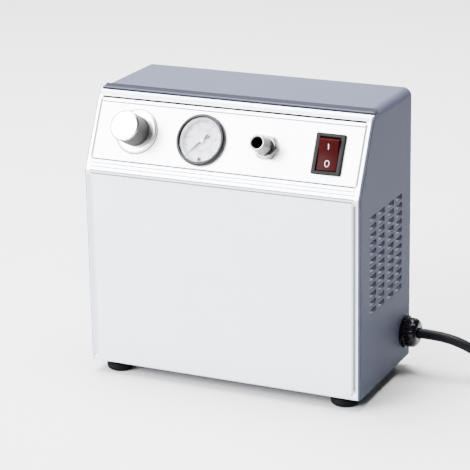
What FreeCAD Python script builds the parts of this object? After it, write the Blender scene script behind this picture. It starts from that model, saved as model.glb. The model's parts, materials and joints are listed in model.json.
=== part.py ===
import FreeCAD, Part
import math
import os
from FreeCAD import Placement, Rotation, Vector

# Oil-less airbrush compressor in a sheet steel case, in millimetres.
# While it is modelled, y = 0 is the front face, z = 0 the table and x = 0 the middle.
# export() then moves everything so that the origin is the middle of the footprint.

# Case
case_width = 240.0
case_depth = 115.0
foot_height = 9.6
case_height = 229.0
lean = 26.2            # degrees that the control panel leans back
knee_z = 175.45        # height at which the front starts to lean
knee_radius = 5.0
brow_radius = 15.0     # big round between the control panel and the top
shell_wall = 1.2
shell_radius = 7.0
cover_wall = 3.0
cover_gap = 0.4        # between the front cover and the steel shell
edge_round = 2.7
base_wall = 1.6
half_width = case_width / 2
top_z = foot_height + case_height

# Control panel: x across, t up the slope from its lower edge, off out of its face
panel_foot = 10.6      # slope length from the knee to the panel's lower edge
panel_length = 50.9
panel_half = 115.0
panel_wall = 1.6
regulator_x, regulator_t = -79.0, 24.8
gauge_x, gauge_t = -20.6, 23.4
outlet_x, outlet_t = 36.5, 23.0
switch_x, switch_t = 88.8, 23.1

# Louvres in both sides
louvre_rows = 12
louvre_top = 155.6
louvre_pitch = 7.0
louvre_height = 4.6
louvre_length = 14.5
louvre_depth = 3.0
louvre_starts = [22.5, 41.0, 61.5, 80.0]

# Motor and pump
axis_y, axis_z = 62.0, 78.0
frame_half = 42.0      # half of the motor's square section
shaft_radius = 4.0
rotor_radius = 20.0
air_gap = 0.6
crank_throw = 3.0
bore_radius = 22.0
cylinder_x = -69.0
running_gap = 0.05

# Mains lead
cord_radius = 4.25
gland_y, gland_z = 101.0, 34.0
coil_x, coil_y = 262.0, 75.0
coil_outer = 60.0      # radius of the outermost turn's centre line
coil_inner = 38.6
plug_x, plug_y = 304.9, 89.0
plug_z = 29.0

# How far the knob stands in front of the case and the screws behind it
knob_reach = 12.0
screw_reach = 1.8
front_y = -(case_depth + screw_reach - knob_reach) / 2

lean_sin = math.sin(math.radians(lean))
lean_cos = math.cos(math.radians(lean))
brow_corner_y = (top_z - knee_z) * lean_sin / lean_cos
brow_tangent = brow_radius * math.tan(math.radians((90 - lean) / 2))
brow_y = brow_corner_y + brow_tangent
brow_z = top_z - brow_radius
lid_y = brow_y + 0.9   # front edge of the shell's flat top

X = Vector(1, 0, 0)
Y = Vector(0, 1, 0)
Z = Vector(0, 0, 1)


# ---------- helpers ----------

def export(name, *solids):
    """Writes one node, moved so that the origin is the middle of the footprint."""
    whole = solids[0] if len(solids) == 1 else Part.makeCompound(list(solids))
    whole = whole.copy()
    whole.translate(Vector(0, front_y, 0))
    whole.exportStep("parts/" + name + ".step")
    print(f"{name:24s} solids {len(whole.Solids):3d} volume {whole.Volume / 1000:9.2f} cm3"
          f" valid {whole.isValid()}")


def block(x0, x1, y0, y1, z0, z1):
    return Part.makeBox(x1 - x0, y1 - y0, z1 - z0, Vector(x0, y0, z0))


def bar(radius, start, end):
    way = end - start
    return Part.makeCylinder(radius, way.Length, start, way)


def ring(outer, inner, start, end):
    way = end - start
    more = way.normalize() * 0.5 if inner else way
    start, end = Vector(start), Vector(end)
    return bar(outer, start, end).cut(bar(inner, start - more, end + more))


def pipe_x(outer, inner, x0, x1, y, z):
    return ring(outer, inner, Vector(x0, y, z), Vector(x1, y, z))


def pipe_z(outer, inner, x, y, z0, z1):
    return ring(outer, inner, Vector(x, y, z0), Vector(x, y, z1))


def prism(points, way):
    """A solid from a closed outline of points, pushed along way."""
    return Part.Face(Part.makePolygon(points + [points[0]])).extrude(way)


def hexagon(across_flats, start, way, turn=0.0):
    """A hexagonal prism whose axis runs from start along way."""
    radius = across_flats / math.sqrt(3)
    corners = []
    for k in range(6):
        angle = math.radians(60 * k + turn)
        corners.append(Vector(radius * math.cos(angle), radius * math.sin(angle), 0))
    solid = prism(corners, Vector(0, 0, way.Length))
    solid.Placement = Placement(start, Rotation(Z, way))
    return solid


def rounded_block(x0, x1, half, radius, y, z):
    """A square bar along X with rounded long edges."""
    solid = block(x0, x1, y - half, y + half, z - half, z + half)
    edges = [e for e in solid.Edges if abs(e.tangentAt(e.FirstParameter).x) > 0.99]
    return solid.makeFillet(radius, edges)


def on_panel(solid):
    """Moves a solid from the panel's own axes (x, t, off) to the case."""
    foot = Vector(0, panel_foot * lean_sin, knee_z + panel_foot * lean_cos)
    solid = solid.copy()
    solid.Placement = Placement(foot, Rotation(X, 90 - lean)).multiply(solid.Placement)
    return solid


def panel_point(x, t, off):
    along = panel_foot + t
    return Vector(x, along * lean_sin - off * lean_cos, knee_z + along * lean_cos + off * lean_sin)


def disc(radius, x, t, off0, off1):
    return bar(radius, Vector(x, t, off0), Vector(x, t, off1))


def panel_ring(outer, inner, x, t, off0, off1):
    return ring(outer, inner, Vector(x, t, off0), Vector(x, t, off1))


def path(points, share=0.45):
    """Straight runs through the points, joined by the largest arcs that fit."""
    edges = []
    radii = []
    last = points[0]
    for before, corner, after in zip(points, points[1:], points[2:]):
        come = (corner - before).normalize()
        leave = (after - corner).normalize()
        half = math.acos(max(-1.0, min(1.0, come.dot(leave)))) / 2
        cut = share * min((corner - before).Length, (after - corner).Length)
        radius = cut / math.tan(half)
        inward = (leave - come).normalize()
        middle = corner + inward * (radius / math.cos(half) - radius)
        start = corner - come * cut
        end = corner + leave * cut
        edges.append(Part.LineSegment(last, start).toShape())
        edges.append(Part.Arc(start, middle, end).toShape())
        radii.append(radius)
        last = end
    edges.append(Part.LineSegment(last, points[-1]).toShape())
    return Part.Wire(edges), radii


def tube(points, radius, say=""):
    """A round tube along a path; its volume is compared with section times length."""
    wire, radii = path(points)
    way = points[1] - points[0]
    section = Part.Wire(Part.Circle(points[0], way, radius).toShape())
    solid = wire.makePipeShell([section], True, False)
    wanted = math.pi * radius ** 2 * wire.Length
    if say:
        print(say, "length", round(wire.Length, 1), "arc radii", [round(r, 1) for r in radii],
              "volume share", round(solid.Volume / wanted, 4))
    return solid


def screw(foot, way, shank, length, head, height):
    """A pan head screw with a cross recess; foot is under its head, way points to the tip."""
    way = Vector(way).normalize()
    body = bar(shank, foot, foot + way * length)
    cap = Part.makeCylinder(head, height, Vector(0, 0, 0), Z)
    rim = [e for e in cap.Edges if e.Closed and abs(e.CenterOfMass.z - height) < 1e-6]
    cap = cap.makeFillet(height * 0.45, rim)
    for turn in (0, 90):
        slot = Part.makeBox(head * 1.1, head * 0.26, height * 0.5,
                            Vector(-head * 0.55, -head * 0.13, height * 0.62))
        slot.rotate(Vector(0, 0, 0), Z, turn)
        cap = cap.cut(slot)
    cap.Placement = Placement(foot, Rotation(Z, way * -1))
    return body.fuse(cap).removeSplitter()


# ---------- case ----------

def front_line(depth):
    """Points and arcs of the front's outline, moved inwards by depth, from knee to brow."""
    knee = Vector(0, knee_radius, knee_z - knee_radius * math.tan(math.radians(lean / 2)))
    brow = Vector(0, brow_y, brow_z)
    k_start = knee + Vector(0, -(knee_radius - depth), 0)
    k_end = knee + Vector(0, -lean_cos, lean_sin) * (knee_radius - depth)
    half_turn = math.radians(lean / 2)
    k_middle = knee + Vector(0, -math.cos(half_turn), math.sin(half_turn)) * (knee_radius - depth)
    b_start = brow + Vector(0, -lean_cos, lean_sin) * (brow_radius - depth)
    b_end = brow + Vector(0, 0, brow_radius - depth)
    mid_turn = math.radians((90 + lean) / 2)
    b_middle = brow + Vector(0, -math.cos(mid_turn), math.sin(mid_turn)) * (brow_radius - depth)
    return k_start, k_middle, k_end, b_start, b_middle, b_end


def front_band(depth0, depth1, bottom, back, x0, x1):
    """The region between two offsets of the front's outline, from x0 to x1."""
    a = front_line(depth0)
    b = front_line(depth1)
    shift = Vector(x0, 0, 0)
    a = [p + shift for p in a]
    b = [p + shift for p in b]
    foot_a = Vector(x0, depth0, bottom)
    foot_b = Vector(x0, depth1, bottom)
    end_a = Vector(x0, back, a[5].z)
    end_b = Vector(x0, back, b[5].z)
    edges = [
        Part.LineSegment(foot_a, a[0]).toShape(),
        Part.Arc(a[0], a[1], a[2]).toShape(),
        Part.LineSegment(a[2], a[3]).toShape(),
        Part.Arc(a[3], a[4], a[5]).toShape(),
        Part.LineSegment(a[5], end_a).toShape(),
        Part.LineSegment(end_a, end_b).toShape(),
        Part.LineSegment(end_b, b[5]).toShape(),
        Part.Arc(b[5], b[4], b[3]).toShape(),
        Part.LineSegment(b[3], b[2]).toShape(),
        Part.Arc(b[2], b[1], b[0]).toShape(),
        Part.LineSegment(b[0], foot_b).toShape(),
        Part.LineSegment(foot_b, foot_a).toShape(),
    ]
    return Part.Face(Part.Wire(edges)).extrude(Vector(x1 - x0, 0, 0))


def side_outline(x0, x1):
    """The case seen from the side, behind the front cover, as a solid from x0 to x1."""
    depth = cover_wall + cover_gap
    a = [p + Vector(x0, 0, 0) for p in front_line(depth)]
    foot = Vector(x0, depth, foot_height)
    lid_low = Vector(x0, lid_y, a[5].z)
    lid = Vector(x0, lid_y, top_z)
    back = Vector(x0, case_depth - shell_wall, top_z)
    back_foot = Vector(x0, case_depth - shell_wall, foot_height)
    edges = [
        Part.LineSegment(foot, a[0]).toShape(),
        Part.Arc(a[0], a[1], a[2]).toShape(),
        Part.LineSegment(a[2], a[3]).toShape(),
        Part.Arc(a[3], a[4], a[5]).toShape(),
        Part.LineSegment(a[5], lid_low).toShape(),
        Part.LineSegment(lid_low, lid).toShape(),
        Part.LineSegment(lid, back).toShape(),
        Part.LineSegment(back, back_foot).toShape(),
        Part.LineSegment(back_foot, foot).toShape(),
    ]
    return Part.Face(Part.Wire(edges)).extrude(Vector(x1 - x0, 0, 0))


def louvre_wedge(side, y0, y1, foot, depth, height, low):
    """One wedge of a louvre: its ramp leaves the outer face at the foot and goes inwards."""
    outer = half_width + low
    points = [
        Vector(side * outer, y0, foot),
        Vector(side * outer, y0, foot + height),
        Vector(side * (half_width - depth), y0, foot + height),
    ]
    return prism(points, Vector(0, y1 - y0, 0))


def case_shell():
    """Steel cover bent over the top and both sides, with return flanges at the back."""
    outer = block(-half_width, half_width, 0, case_depth, foot_height - 20, top_z)
    edges = [e for e in outer.Edges
             if abs(e.tangentAt(e.FirstParameter).y) > 0.99 and e.CenterOfMass.z > top_z - 1]
    outer = outer.makeFillet(shell_radius, edges)
    inside = half_width - shell_wall
    inner = block(-inside, inside, -1, case_depth + 1, foot_height - 30, top_z - shell_wall)
    edges = [e for e in inner.Edges
             if abs(e.tangentAt(e.FirstParameter).y) > 0.99 and e.CenterOfMass.z > top_z - 3]
    inner = inner.makeFillet(shell_radius - shell_wall, edges)
    shell = outer.cut(inner).common(side_outline(-half_width - 1, half_width + 1))
    back = case_depth - shell_wall
    window = block(-inside + 10, inside - 10, back - 2, back + 1, 0, top_z - shell_wall - 10)
    flange = inner.common(block(-half_width, half_width, back - shell_wall, back,
                                foot_height + 14, top_z)).cut(window)
    ramps = []
    voids = []
    for side in (-1, 1):
        for start in louvre_starts:
            for row in range(louvre_rows):
                foot = louvre_top - louvre_height - row * louvre_pitch
                ramps.append(louvre_wedge(side, start - 0.8, start + louvre_length + 0.8,
                                          foot - 1.3, louvre_depth + 0.8,
                                          louvre_height + 1.3, -0.2))
                voids.append(louvre_wedge(side, start, start + louvre_length, foot,
                                          louvre_depth, louvre_height + 0.01, 0.3))
    shell = shell.fuse([flange] + ramps).cut(Part.makeCompound(voids))
    holes = [bar(9.7, Vector(110, gland_y, gland_z), Vector(130, gland_y, gland_z))]
    for x, z in rear_screws()[:6]:
        holes.append(bar(1.6, Vector(x, 100, z), Vector(x, 120, z)))
    return shell.cut(holes).removeSplitter()


def rear_screws():
    """Where the rear panel's screws are: six in the shell's flanges, two in the base."""
    places = []
    for x in (-113.0, 113.0):
        for z in (66.0, 142.0, 218.0):
            places.append((x, z))
    places += [(-80.0, foot_height + 7), (80.0, foot_height + 7)]
    return places


def rear_panel():
    y0 = case_depth - shell_wall
    inset = 0.6
    panel = block(-half_width + inset, half_width - inset, y0, case_depth,
                  foot_height + 0.4, top_z - inset)
    edges = [e for e in panel.Edges
             if abs(e.tangentAt(e.FirstParameter).y) > 0.99 and e.CenterOfMass.z > 100]
    panel = panel.makeFillet(shell_radius - inset, edges)
    cuts = []
    for x in (-58.0, 14.0):
        for row in range(9):
            z = 84.0 + row * 8.0
            slot = block(x, x + 44, y0 - 1, case_depth + 1, z, z + 3)
            edges = [e for e in slot.Edges if abs(e.tangentAt(e.FirstParameter).y) > 0.99]
            cuts.append(slot.makeFillet(1.4, edges))
    for x, z in rear_screws():
        cuts.append(bar(1.9, Vector(x, y0 - 1, z), Vector(x, case_depth + 1, z)))
    return panel.cut(cuts)


def rear_panel_screws():
    return [screw(Vector(x, case_depth, z), Vector(0, -1, 0), 1.5, 8.0, 3.2, screw_reach)
            for x, z in rear_screws()]


foot_places = [(-101.5, 15.5), (101.5, 15.5), (-101.5, 99.5), (101.5, 99.5)]
mount_places = [(-84.0, axis_y - 36), (-84.0, axis_y + 36), (38.0, axis_y - 36), (38.0, axis_y + 36)]


def base_plate():
    """Floor tray with turned-up edges, which carries the feet and the pump."""
    edge = half_width - shell_wall - 0.3
    back = case_depth - 2 * shell_wall - 0.2
    tray = block(-edge, edge, cover_wall + cover_gap, back, foot_height, foot_height + base_wall)
    for side in (-1, 1):
        x0, x1 = sorted((side * edge, side * (edge - shell_wall)))
        tray = tray.fuse(block(x0, x1, 20, back - 6, foot_height, foot_height + 10))
    tray = tray.fuse(block(-105, 105, back - shell_wall, back, foot_height, foot_height + 13))
    holes = [bar(2.1, Vector(x, y, 0), Vector(x, y, 30)) for x, y in foot_places]
    holes += [bar(2.6, Vector(x, y, 0), Vector(x, y, 30)) for x, y in mount_places]
    for x, z in rear_screws()[6:]:
        holes.append(bar(1.6, Vector(x, 100, z), Vector(x, 120, z)))
    for k in range(6):
        holes.append(block(-52, 18, 40 + 8 * k, 43 + 8 * k, 0, 20))
    return tray.cut(holes).removeSplitter()


def front_cover():
    """Silver moulding: lower panel, ridges, frame of the control panel and rounded brow."""
    skin = front_band(0, cover_wall, foot_height, lid_y - cover_gap,
                      -half_width + 0.1, half_width - 0.1)
    ends = []
    for e in skin.Edges:
        middle = e.valueAt((e.FirstParameter + e.LastParameter) / 2)
        if abs(middle.x) < half_width - 0.2:
            continue
        knee_line = front_line(0)
        if middle.z > top_z - 0.01:
            on_front = True
        elif middle.z < knee_line[0].z:
            on_front = middle.y < 0.01
        elif middle.z < knee_line[2].z:
            on_front = middle.y < 0.8
        elif middle.z < knee_line[3].z:
            on_front = middle.y < (middle.z - knee_z) * lean_sin / lean_cos + 0.01
        else:
            far = Vector(0, middle.y - brow_y, middle.z - brow_z).Length
            on_front = far > brow_radius - 0.01 and middle.y < brow_y + 0.1
        if on_front and e.Length > 0.6:
            ends.append(e)
    skin = skin.makeFillet(edge_round, ends)
    cuts = []
    for side in (-1, 1):
        valley = bar(2.9, Vector(side * (panel_half + 0.5), -1.5, foot_height + 6),
                     Vector(side * (panel_half + 0.5), -1.5, knee_z - 4.5))
        tips = [Part.makeSphere(2.9, Vector(side * (panel_half + 0.5), -1.5, z))
                for z in (foot_height + 6, knee_z - 4.5)]
        cuts.append(valley.fuse(tips))
    cuts.append(block(-panel_half, panel_half, -1, 0.8, knee_z - 2.7, knee_z - 1.5))
    cuts.append(on_panel(block(-panel_half - 0.2, panel_half + 0.2, -1.1, panel_length + 0.2,
                               -panel_wall, 5)))
    for t, depth in ((-3.8, 0.4), (-6.8, 0.4), (-10.2, 0.7)):
        cuts.append(on_panel(block(-panel_half, panel_half, t - 0.4, t + 0.4, -depth, 5)))
    for low, high in ((3, 21), (30, 38), (57.5, 64.5)):
        cuts.append(brow_groove(low, high))
    skin = skin.cut(cuts)
    holes = [
        on_panel(disc(11.5, regulator_x, regulator_t, -8, 3)),
        on_panel(disc(19.8, gauge_x, gauge_t, -8, 3)),
        on_panel(disc(7.0, outlet_x, outlet_t, -8, 3)),
        on_panel(block(switch_x - 11.0, switch_x + 11.0, switch_t - 14.0, switch_t + 14.0, -8, 3)),
    ]
    skin = skin.cut(holes)
    tongues = []
    for side in (-1, 1):
        x0, x1 = sorted((side * (half_width - shell_wall - 0.3), side * (half_width - 3.6)))
        tongue = front_band(cover_wall - 1.0, cover_wall + 1.6, foot_height + 12, lid_y - 4, x0, x1)
        tongues.append(tongue)
    lip = block(-105, 105, cover_wall - 0.5, 13, foot_height + base_wall, foot_height + base_wall + 2)
    roof = block(-105, 105, brow_y - 3, lid_y + 9, top_z - shell_wall - 2.3, top_z - shell_wall - 0.2)
    return skin.fuse(tongues + [lip, roof]).removeSplitter()


def brow_groove(low, high):
    """A groove along the brow, between two angles measured back from the vertical."""
    centre = Vector(-half_width - 1, brow_y, brow_z)
    rim = []
    for radius in (brow_radius - 1.3, brow_radius + 1.0):
        for part in (low, (low + high) / 2, high):
            angle = math.radians(part)
            rim.append(centre + Vector(0, -math.sin(angle), math.cos(angle)) * radius)
    edges = [
        Part.Arc(rim[0], rim[1], rim[2]).toShape(),
        Part.LineSegment(rim[2], rim[5]).toShape(),
        Part.Arc(rim[5], rim[4], rim[3]).toShape(),
        Part.LineSegment(rim[3], rim[0]).toShape(),
    ]
    return Part.Face(Part.Wire(edges)).extrude(Vector(case_width + 2, 0, 0))


def control_panel():
    plate = block(-panel_half, panel_half, 0, panel_length - 0.5, -panel_wall, 0)
    edges = [e for e in plate.Edges if abs(e.tangentAt(e.FirstParameter).z) > 0.99]
    plate = plate.makeFillet(2.0, edges)
    holes = [
        disc(11.1, regulator_x, regulator_t, -5, 3),
        disc(19.4, gauge_x, gauge_t, -5, 3),
        disc(6.7, outlet_x, outlet_t, -5, 3),
        block(switch_x - 10.9, switch_x + 10.9, switch_t - 13.9, switch_t + 13.9, -5, 3),
    ]
    return on_panel(plate.cut(holes))


def foot(x, y):
    """Turned rubber foot with a bulge, a short neck and a sunk screw hole."""
    outline = [(2.1, 4.5), (5.0, 4.5), (5.0, 0), (9.6, 0), (10.9, 1.2), (11.5, 3.0), (11.5, 4.8),
               (10.6, 6.6), (8.4, 7.4), (8.4, foot_height), (2.1, foot_height)]
    points = [Vector(x + r, y, z) for r, z in outline]
    face = Part.Face(Part.makePolygon(points + [points[0]]))
    return face.revolve(Vector(x, y, 0), Z, 360)


def foot_screws():
    return [screw(Vector(x, y, 4.5), Z, 2.0, 10.0, 4.0, 2.4) for x, y in foot_places]


# ---------- pressure regulator ----------

def regulator_knob():
    """Chromed cap with a knurled skirt and a small dimple in the middle of its face."""
    knob = disc(12.6, 0, 0, 3.0, 24.0)
    rim = [e for e in knob.Edges if e.Closed and abs(e.CenterOfMass.z - 24.0) < 1e-6]
    knob = knob.makeFillet(1.0, rim)
    knob = knob.cut(disc(11.4, 0, 0, 2.5, 20.5))
    grooves = []
    for k in range(36):
        angle = math.radians(10 * k)
        grooves.append(disc(0.45, 12.75 * math.cos(angle), 12.75 * math.sin(angle), 4.5, 21.5))
    knob = knob.cut(grooves).cut(disc(0.8, 0, 0, 23.5, 25))
    knob.translate(Vector(regulator_x, regulator_t, 0))
    return on_panel(knob)


def regulator_spindle():
    """Thrust screw, moulded into the knob; its thread is drawn as a plain rod."""
    return on_panel(disc(3.0, regulator_x, regulator_t, -11.0, 20.5))


def knob_lock_ring():
    ring_body = panel_ring(18.2, 11.1, 0, 0, 0, 2.2)
    rim = [e for e in ring_body.Edges if e.Closed and abs(e.CenterOfMass.z - 2.2) < 1e-6
           and e.Length > 100]
    ring_body = ring_body.makeChamfer(0.7, rim)
    ring_body.translate(Vector(regulator_x, regulator_t, 0))
    return on_panel(ring_body)


def regulator_bonnet():
    bonnet = disc(11.0, 0, 0, -3.2, 4.0)
    bonnet = bonnet.fuse(disc(15.0, 0, 0, -19.2, -cover_wall))
    bonnet = bonnet.cut(disc(9.0, 0, 0, -19.5, 1.0))
    bonnet = bonnet.cut(disc(3.0 + running_gap, 0, 0, 0, 5))
    bonnet.translate(Vector(regulator_x, regulator_t, 0))
    return on_panel(bonnet)


def regulator_seat():
    """Nut that slides in the bonnet as the spindle turns, and presses on the spring."""
    seat = panel_ring(8.6, 3.0 + running_gap, 0, 0, -5.0, -1.0)
    seat = seat.cut(panel_ring(5.0, 3.9, 0, 0, -5.5, -4.4))
    seat.translate(Vector(regulator_x, regulator_t, 0))
    return on_panel(seat)


def regulator_spring():
    wire_radius = 0.9
    turns_height = 12.2 - 2 * wire_radius
    helix = Part.makeHelix(turns_height / 4, turns_height, 6.4)
    section = Part.Wire(Part.Circle(Vector(6.4, 0, 0), Vector(0, 1, 0), wire_radius).toShape())
    spring = Part.Wire(helix).makePipeShell([section], True, True)
    spring.translate(Vector(regulator_x, regulator_t, -17.2 + wire_radius))
    return on_panel(spring)


def regulator_diaphragm():
    sheet = disc(15.0, 0, 0, -20.0, -19.2).fuse(disc(7.8, 0, 0, -19.2, -17.2))
    sheet.translate(Vector(regulator_x, regulator_t, 0))
    return on_panel(sheet)


def regulator_body():
    """Die-cast block with hose barbs: inlet behind, gauge at the side and outlet below."""
    body = block(-17, 17, -17, 17, -40, -20)
    edges = [e for e in body.Edges if abs(e.tangentAt(e.FirstParameter).z) > 0.99]
    body = body.makeFillet(3.0, edges)
    body = body.cut(disc(8.0, 0, 0, -24, -19)).cut(disc(2.6, 0, 0, -36, -23))
    body = body.fuse(bar(3.0, Vector(16, 2, -32), Vector(27, 2, -32)))
    body = body.fuse(bar(3.0, Vector(6, 4, -39), Vector(6, 4, -51)))
    body = body.fuse(bar(3.0, Vector(0, -16, -32), Vector(0, -27, -32)))
    body.translate(Vector(regulator_x, regulator_t, 0))
    return on_panel(body)


# ---------- pressure gauge ----------

gauge_outer = 21.1


def gauge_case():
    case = disc(gauge_outer, 0, 0, 0, 1.2).fuse(disc(19.2, 0, 0, -24, 0))
    case = case.cut(disc(18.3, 0, 0, -23, 2))
    case = case.fuse(hexagon(12.0, Vector(0, 0, -30), Vector(0, 0, 6)))
    case = case.fuse(disc(3.0, 0, 0, -41, -30))
    case.translate(Vector(gauge_x, gauge_t, 0))
    return on_panel(case)


def gauge_bezel():
    bezel = panel_ring(gauge_outer, 19.5, 0, 0, 1.2, 4.2)
    bezel = bezel.fuse(panel_ring(20.2, 18.0, 0, 0, 3.4, 4.2))
    bezel.translate(Vector(gauge_x, gauge_t, 0))
    return on_panel(bezel)


def gauge_lens():
    return on_panel(disc(19.4, gauge_x, gauge_t, 2.1, 3.3))


def gauge_dial():
    dial = panel_ring(18.1, 1.6, 0, 0, -2.8, -2.2)
    dial.translate(Vector(gauge_x, gauge_t, 0))
    return on_panel(dial)


def gauge_needle():
    """Pointer at zero, with its counterweight tail, hub and staff."""
    arm = prism([Vector(-5.5, -1.4, -0.9), Vector(0, -1.1, -0.9), Vector(13.5, -0.25, -0.9),
                 Vector(13.5, 0.25, -0.9), Vector(0, 1.1, -0.9), Vector(-5.5, 1.4, -0.9)],
                Vector(0, 0, 0.5))
    needle = arm.fuse(disc(2.1, 0, 0, -1.3, 0.6)).fuse(disc(0.6, 0, 0, -8.0, -1.0))
    needle.rotate(Vector(0, 0, 0), Z, 225)
    needle.translate(Vector(gauge_x, gauge_t, 0))
    return on_panel(needle)


def gauge_movement():
    """Bourdon tube and the plate that carries the needle's staff."""
    bend = Part.makeTorus(12.5, 1.8, Vector(0, 0, -14), Z, -180, 180, 270)
    plate = block(-4, 4, -14, 6, -12.0, -10.0)
    plate = plate.cut(disc(0.6 + running_gap, 0, 0, -13, -9))
    stem = block(9.5, 15.0, -3, 1.5, -23, -12.2)
    plate = plate.fuse(block(-3, 3, -15, -8, -23, -11.0))
    movement = bend.fuse(stem).fuse(plate)
    movement.translate(Vector(gauge_x, gauge_t, 0))
    return on_panel(movement)


# ---------- air outlet ----------

thread_radius = 6.58   # G 1/4 outside thread


def outlet_fitting():
    """Bulkhead fitting: G 1/4 outside thread in front, hex and hose barb behind."""
    fitting = disc(thread_radius, 0, 0, 8.0, 22.0).fuse(disc(5.7, 0, 0, 6.0, 8.0))
    fitting = fitting.fuse(disc(thread_radius, 0, 0, -4.0, 6.0))
    fitting = fitting.fuse(hexagon(17.0, Vector(0, 0, -8.0), Vector(0, 0, 4.9)))
    fitting = fitting.fuse(disc(5.0, 0, 0, -12.0, -8.0)).fuse(disc(3.0, 0, 0, -24.0, -12.0))
    rim = [e for e in fitting.Edges if e.Closed and abs(e.CenterOfMass.z - 22.0) < 1e-6]
    fitting = fitting.makeChamfer(0.7, rim)
    fitting = fitting.cut(disc(4.8, 0, 0, 2.0, 23.0)).cut(disc(1.8, 0, 0, -25.0, 2.5))
    fitting.translate(Vector(outlet_x, outlet_t, 0))
    return on_panel(fitting)


def outlet_nut():
    nut = hexagon(18.0, Vector(0, 0, 0), Vector(0, 0, 5.6))
    cone = Part.makeCone(14.5, 8.6, 5.9, Vector(0, 0, -0.1), Z)
    nut = nut.common(cone.fuse(disc(12.0, 0, 0, 0, 3.9)))
    nut = nut.cut(disc(thread_radius + 0.1, 0, 0, -1, 7))
    nut.translate(Vector(outlet_x, outlet_t, 0))
    return on_panel(nut)


# ---------- mains switch ----------

rocker_pivot = -3.0    # off of the rocker's axis
rocker_swing = 10.5    # degrees to each side of the middle
rocker_reach = 13.3


def switch_housing():
    """Snap-in rocker switch: black bezel and box, with an open well for the rocker."""
    bezel = block(-12.5, 12.5, -16.5, 16.5, 0, 2.2)
    edges = [e for e in bezel.Edges if abs(e.tangentAt(e.FirstParameter).z) > 0.99]
    bezel = bezel.makeFillet(1.2, edges)
    box = block(-10.7, 10.7, -13.8, 13.8, -20, 0)
    well = block(-9.2, 9.2, -13.75, 13.75, -12, 3).common(
        bar(rocker_reach + 0.4, Vector(-9.2, 0, rocker_pivot), Vector(9.2, 0, rocker_pivot)))
    well = well.fuse(block(-9.2, 9.2, -13.75, 13.75, -0.5, 3))
    housing = bezel.fuse(box).cut(well)
    for side in (-1, 1):
        end = Vector(side * 9.9, 0, rocker_pivot)
        housing = housing.cut(bar(1.5 + running_gap, Vector(side * 9.0, 0, rocker_pivot), end))
    housing.translate(Vector(switch_x, switch_t, 0))
    return on_panel(housing)


def switch_rocker():
    """Rocker with two sloping faces, shown with its lower half pressed in."""
    drum = bar(rocker_reach, Vector(-8.8, 0, rocker_pivot), Vector(8.8, 0, rocker_pivot))
    section = prism([Vector(-8.8, -14, 3.9), Vector(-8.8, 0, 1.9), Vector(-8.8, 14, 3.9),
                     Vector(-8.8, 14, -6.5), Vector(-8.8, -14, -6.5)], Vector(17.6, 0, 0))
    rocker = drum.common(section)
    rocker = rocker.fuse(bar(1.5, Vector(-9.8, 0, rocker_pivot), Vector(9.8, 0, rocker_pivot)))
    rocker.rotate(Vector(0, 0, rocker_pivot), X, rocker_swing)
    rocker.translate(Vector(switch_x, switch_t, 0))
    return on_panel(rocker)


def switch_terminals():
    tabs = []
    for x in (-5.0, 5.0):
        for t in (-7.0, 7.0):
            tab = block(x - 3.1, x + 3.1, t - 0.4, t + 0.4, -28, -20)
            tab = tab.cut(bar(0.8, Vector(x, t - 1, -26), Vector(x, t + 1, -26)))
            tab.translate(Vector(switch_x, switch_t, 0))
            tabs.append(on_panel(tab))
    return tabs


# ---------- mains lead ----------

def gland_body():
    body = hexagon(24.0, Vector(half_width, gland_y, gland_z), Vector(4.0, 0, 0), 30)
    start = Vector(half_width - 11, gland_y, gland_z)
    end = Vector(half_width + 6, gland_y, gland_z)
    body = body.fuse(bar(9.5, start, end))
    return body.cut(bar(5.0, start - X, end + X))


def gland_locknut():
    """Round nut with six spanner notches, inside the case wall."""
    inner_end = half_width - shell_wall - 4.0
    nut = pipe_x(11.4, 9.6, inner_end, inner_end + 4.0, gland_y, gland_z)
    notches = []
    for k in range(6):
        notch = block(inner_end - 1, inner_end + 2.5, -1.2, 1.2, 10.6, 13.0)
        notch.rotate(Vector(0, 0, 0), X, 60 * k)
        notch.translate(Vector(0, gland_y, gland_z))
        notches.append(notch)
    return nut.cut(notches)


def gland_nut():
    """Domed clamping nut; the lead comes out through its middle."""
    x0 = half_width + 4.0
    outline = [(cord_radius + running_gap, 2.2), (9.6, 2.2), (9.6, 0), (12.3, 0), (12.3, 5.5),
               (11.4, 8.0), (9.2, 9.6), (cord_radius + running_gap, 9.6)]
    points = [Vector(x0 + along, gland_y + r, gland_z) for r, along in outline]
    face = Part.Face(Part.makePolygon(points + [points[0]]))
    nut = face.revolve(Vector(x0, gland_y, gland_z), X, 360)
    ribs = []
    for k in range(12):
        angle = math.radians(30 * k)
        spot = Vector(x0 - 0.5, gland_y + 12.9 * math.cos(angle), gland_z + 12.9 * math.sin(angle))
        ribs.append(bar(1.1, spot, spot + X * 6.5))
    return nut.cut(ribs)


lead_route = [Vector(127, gland_y, gland_z), Vector(146, 101.2, 34.3), Vector(165, 100.7, 32.4),
              Vector(183, 102.6, 24.6), Vector(199, 110.0, 13.4), Vector(217, 119.3, 5.4),
              Vector(234, 128.4, 4.3), Vector(251, 134.0, cord_radius)]
tail_route = [Vector(253.6, 134.4, 12.75), Vector(267.7, 134.1, 15.6), Vector(281.0, 129.5, 19.4),
              Vector(292.3, 121.1, 22.8), Vector(300.3, 109.5, 25.9), Vector(304.5, 96.1, 28.3),
              Vector(plug_x, plug_y - 4, plug_z)]


def power_cord():
    lead = tube(lead_route, cord_radius, "lead-in")
    tail = tube(tail_route, cord_radius, "tail")
    return lead, tail


def power_cord_coil():
    return pipe_z(coil_outer + cord_radius, coil_inner - cord_radius, coil_x, coil_y,
                  0, 4 * cord_radius)


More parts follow.
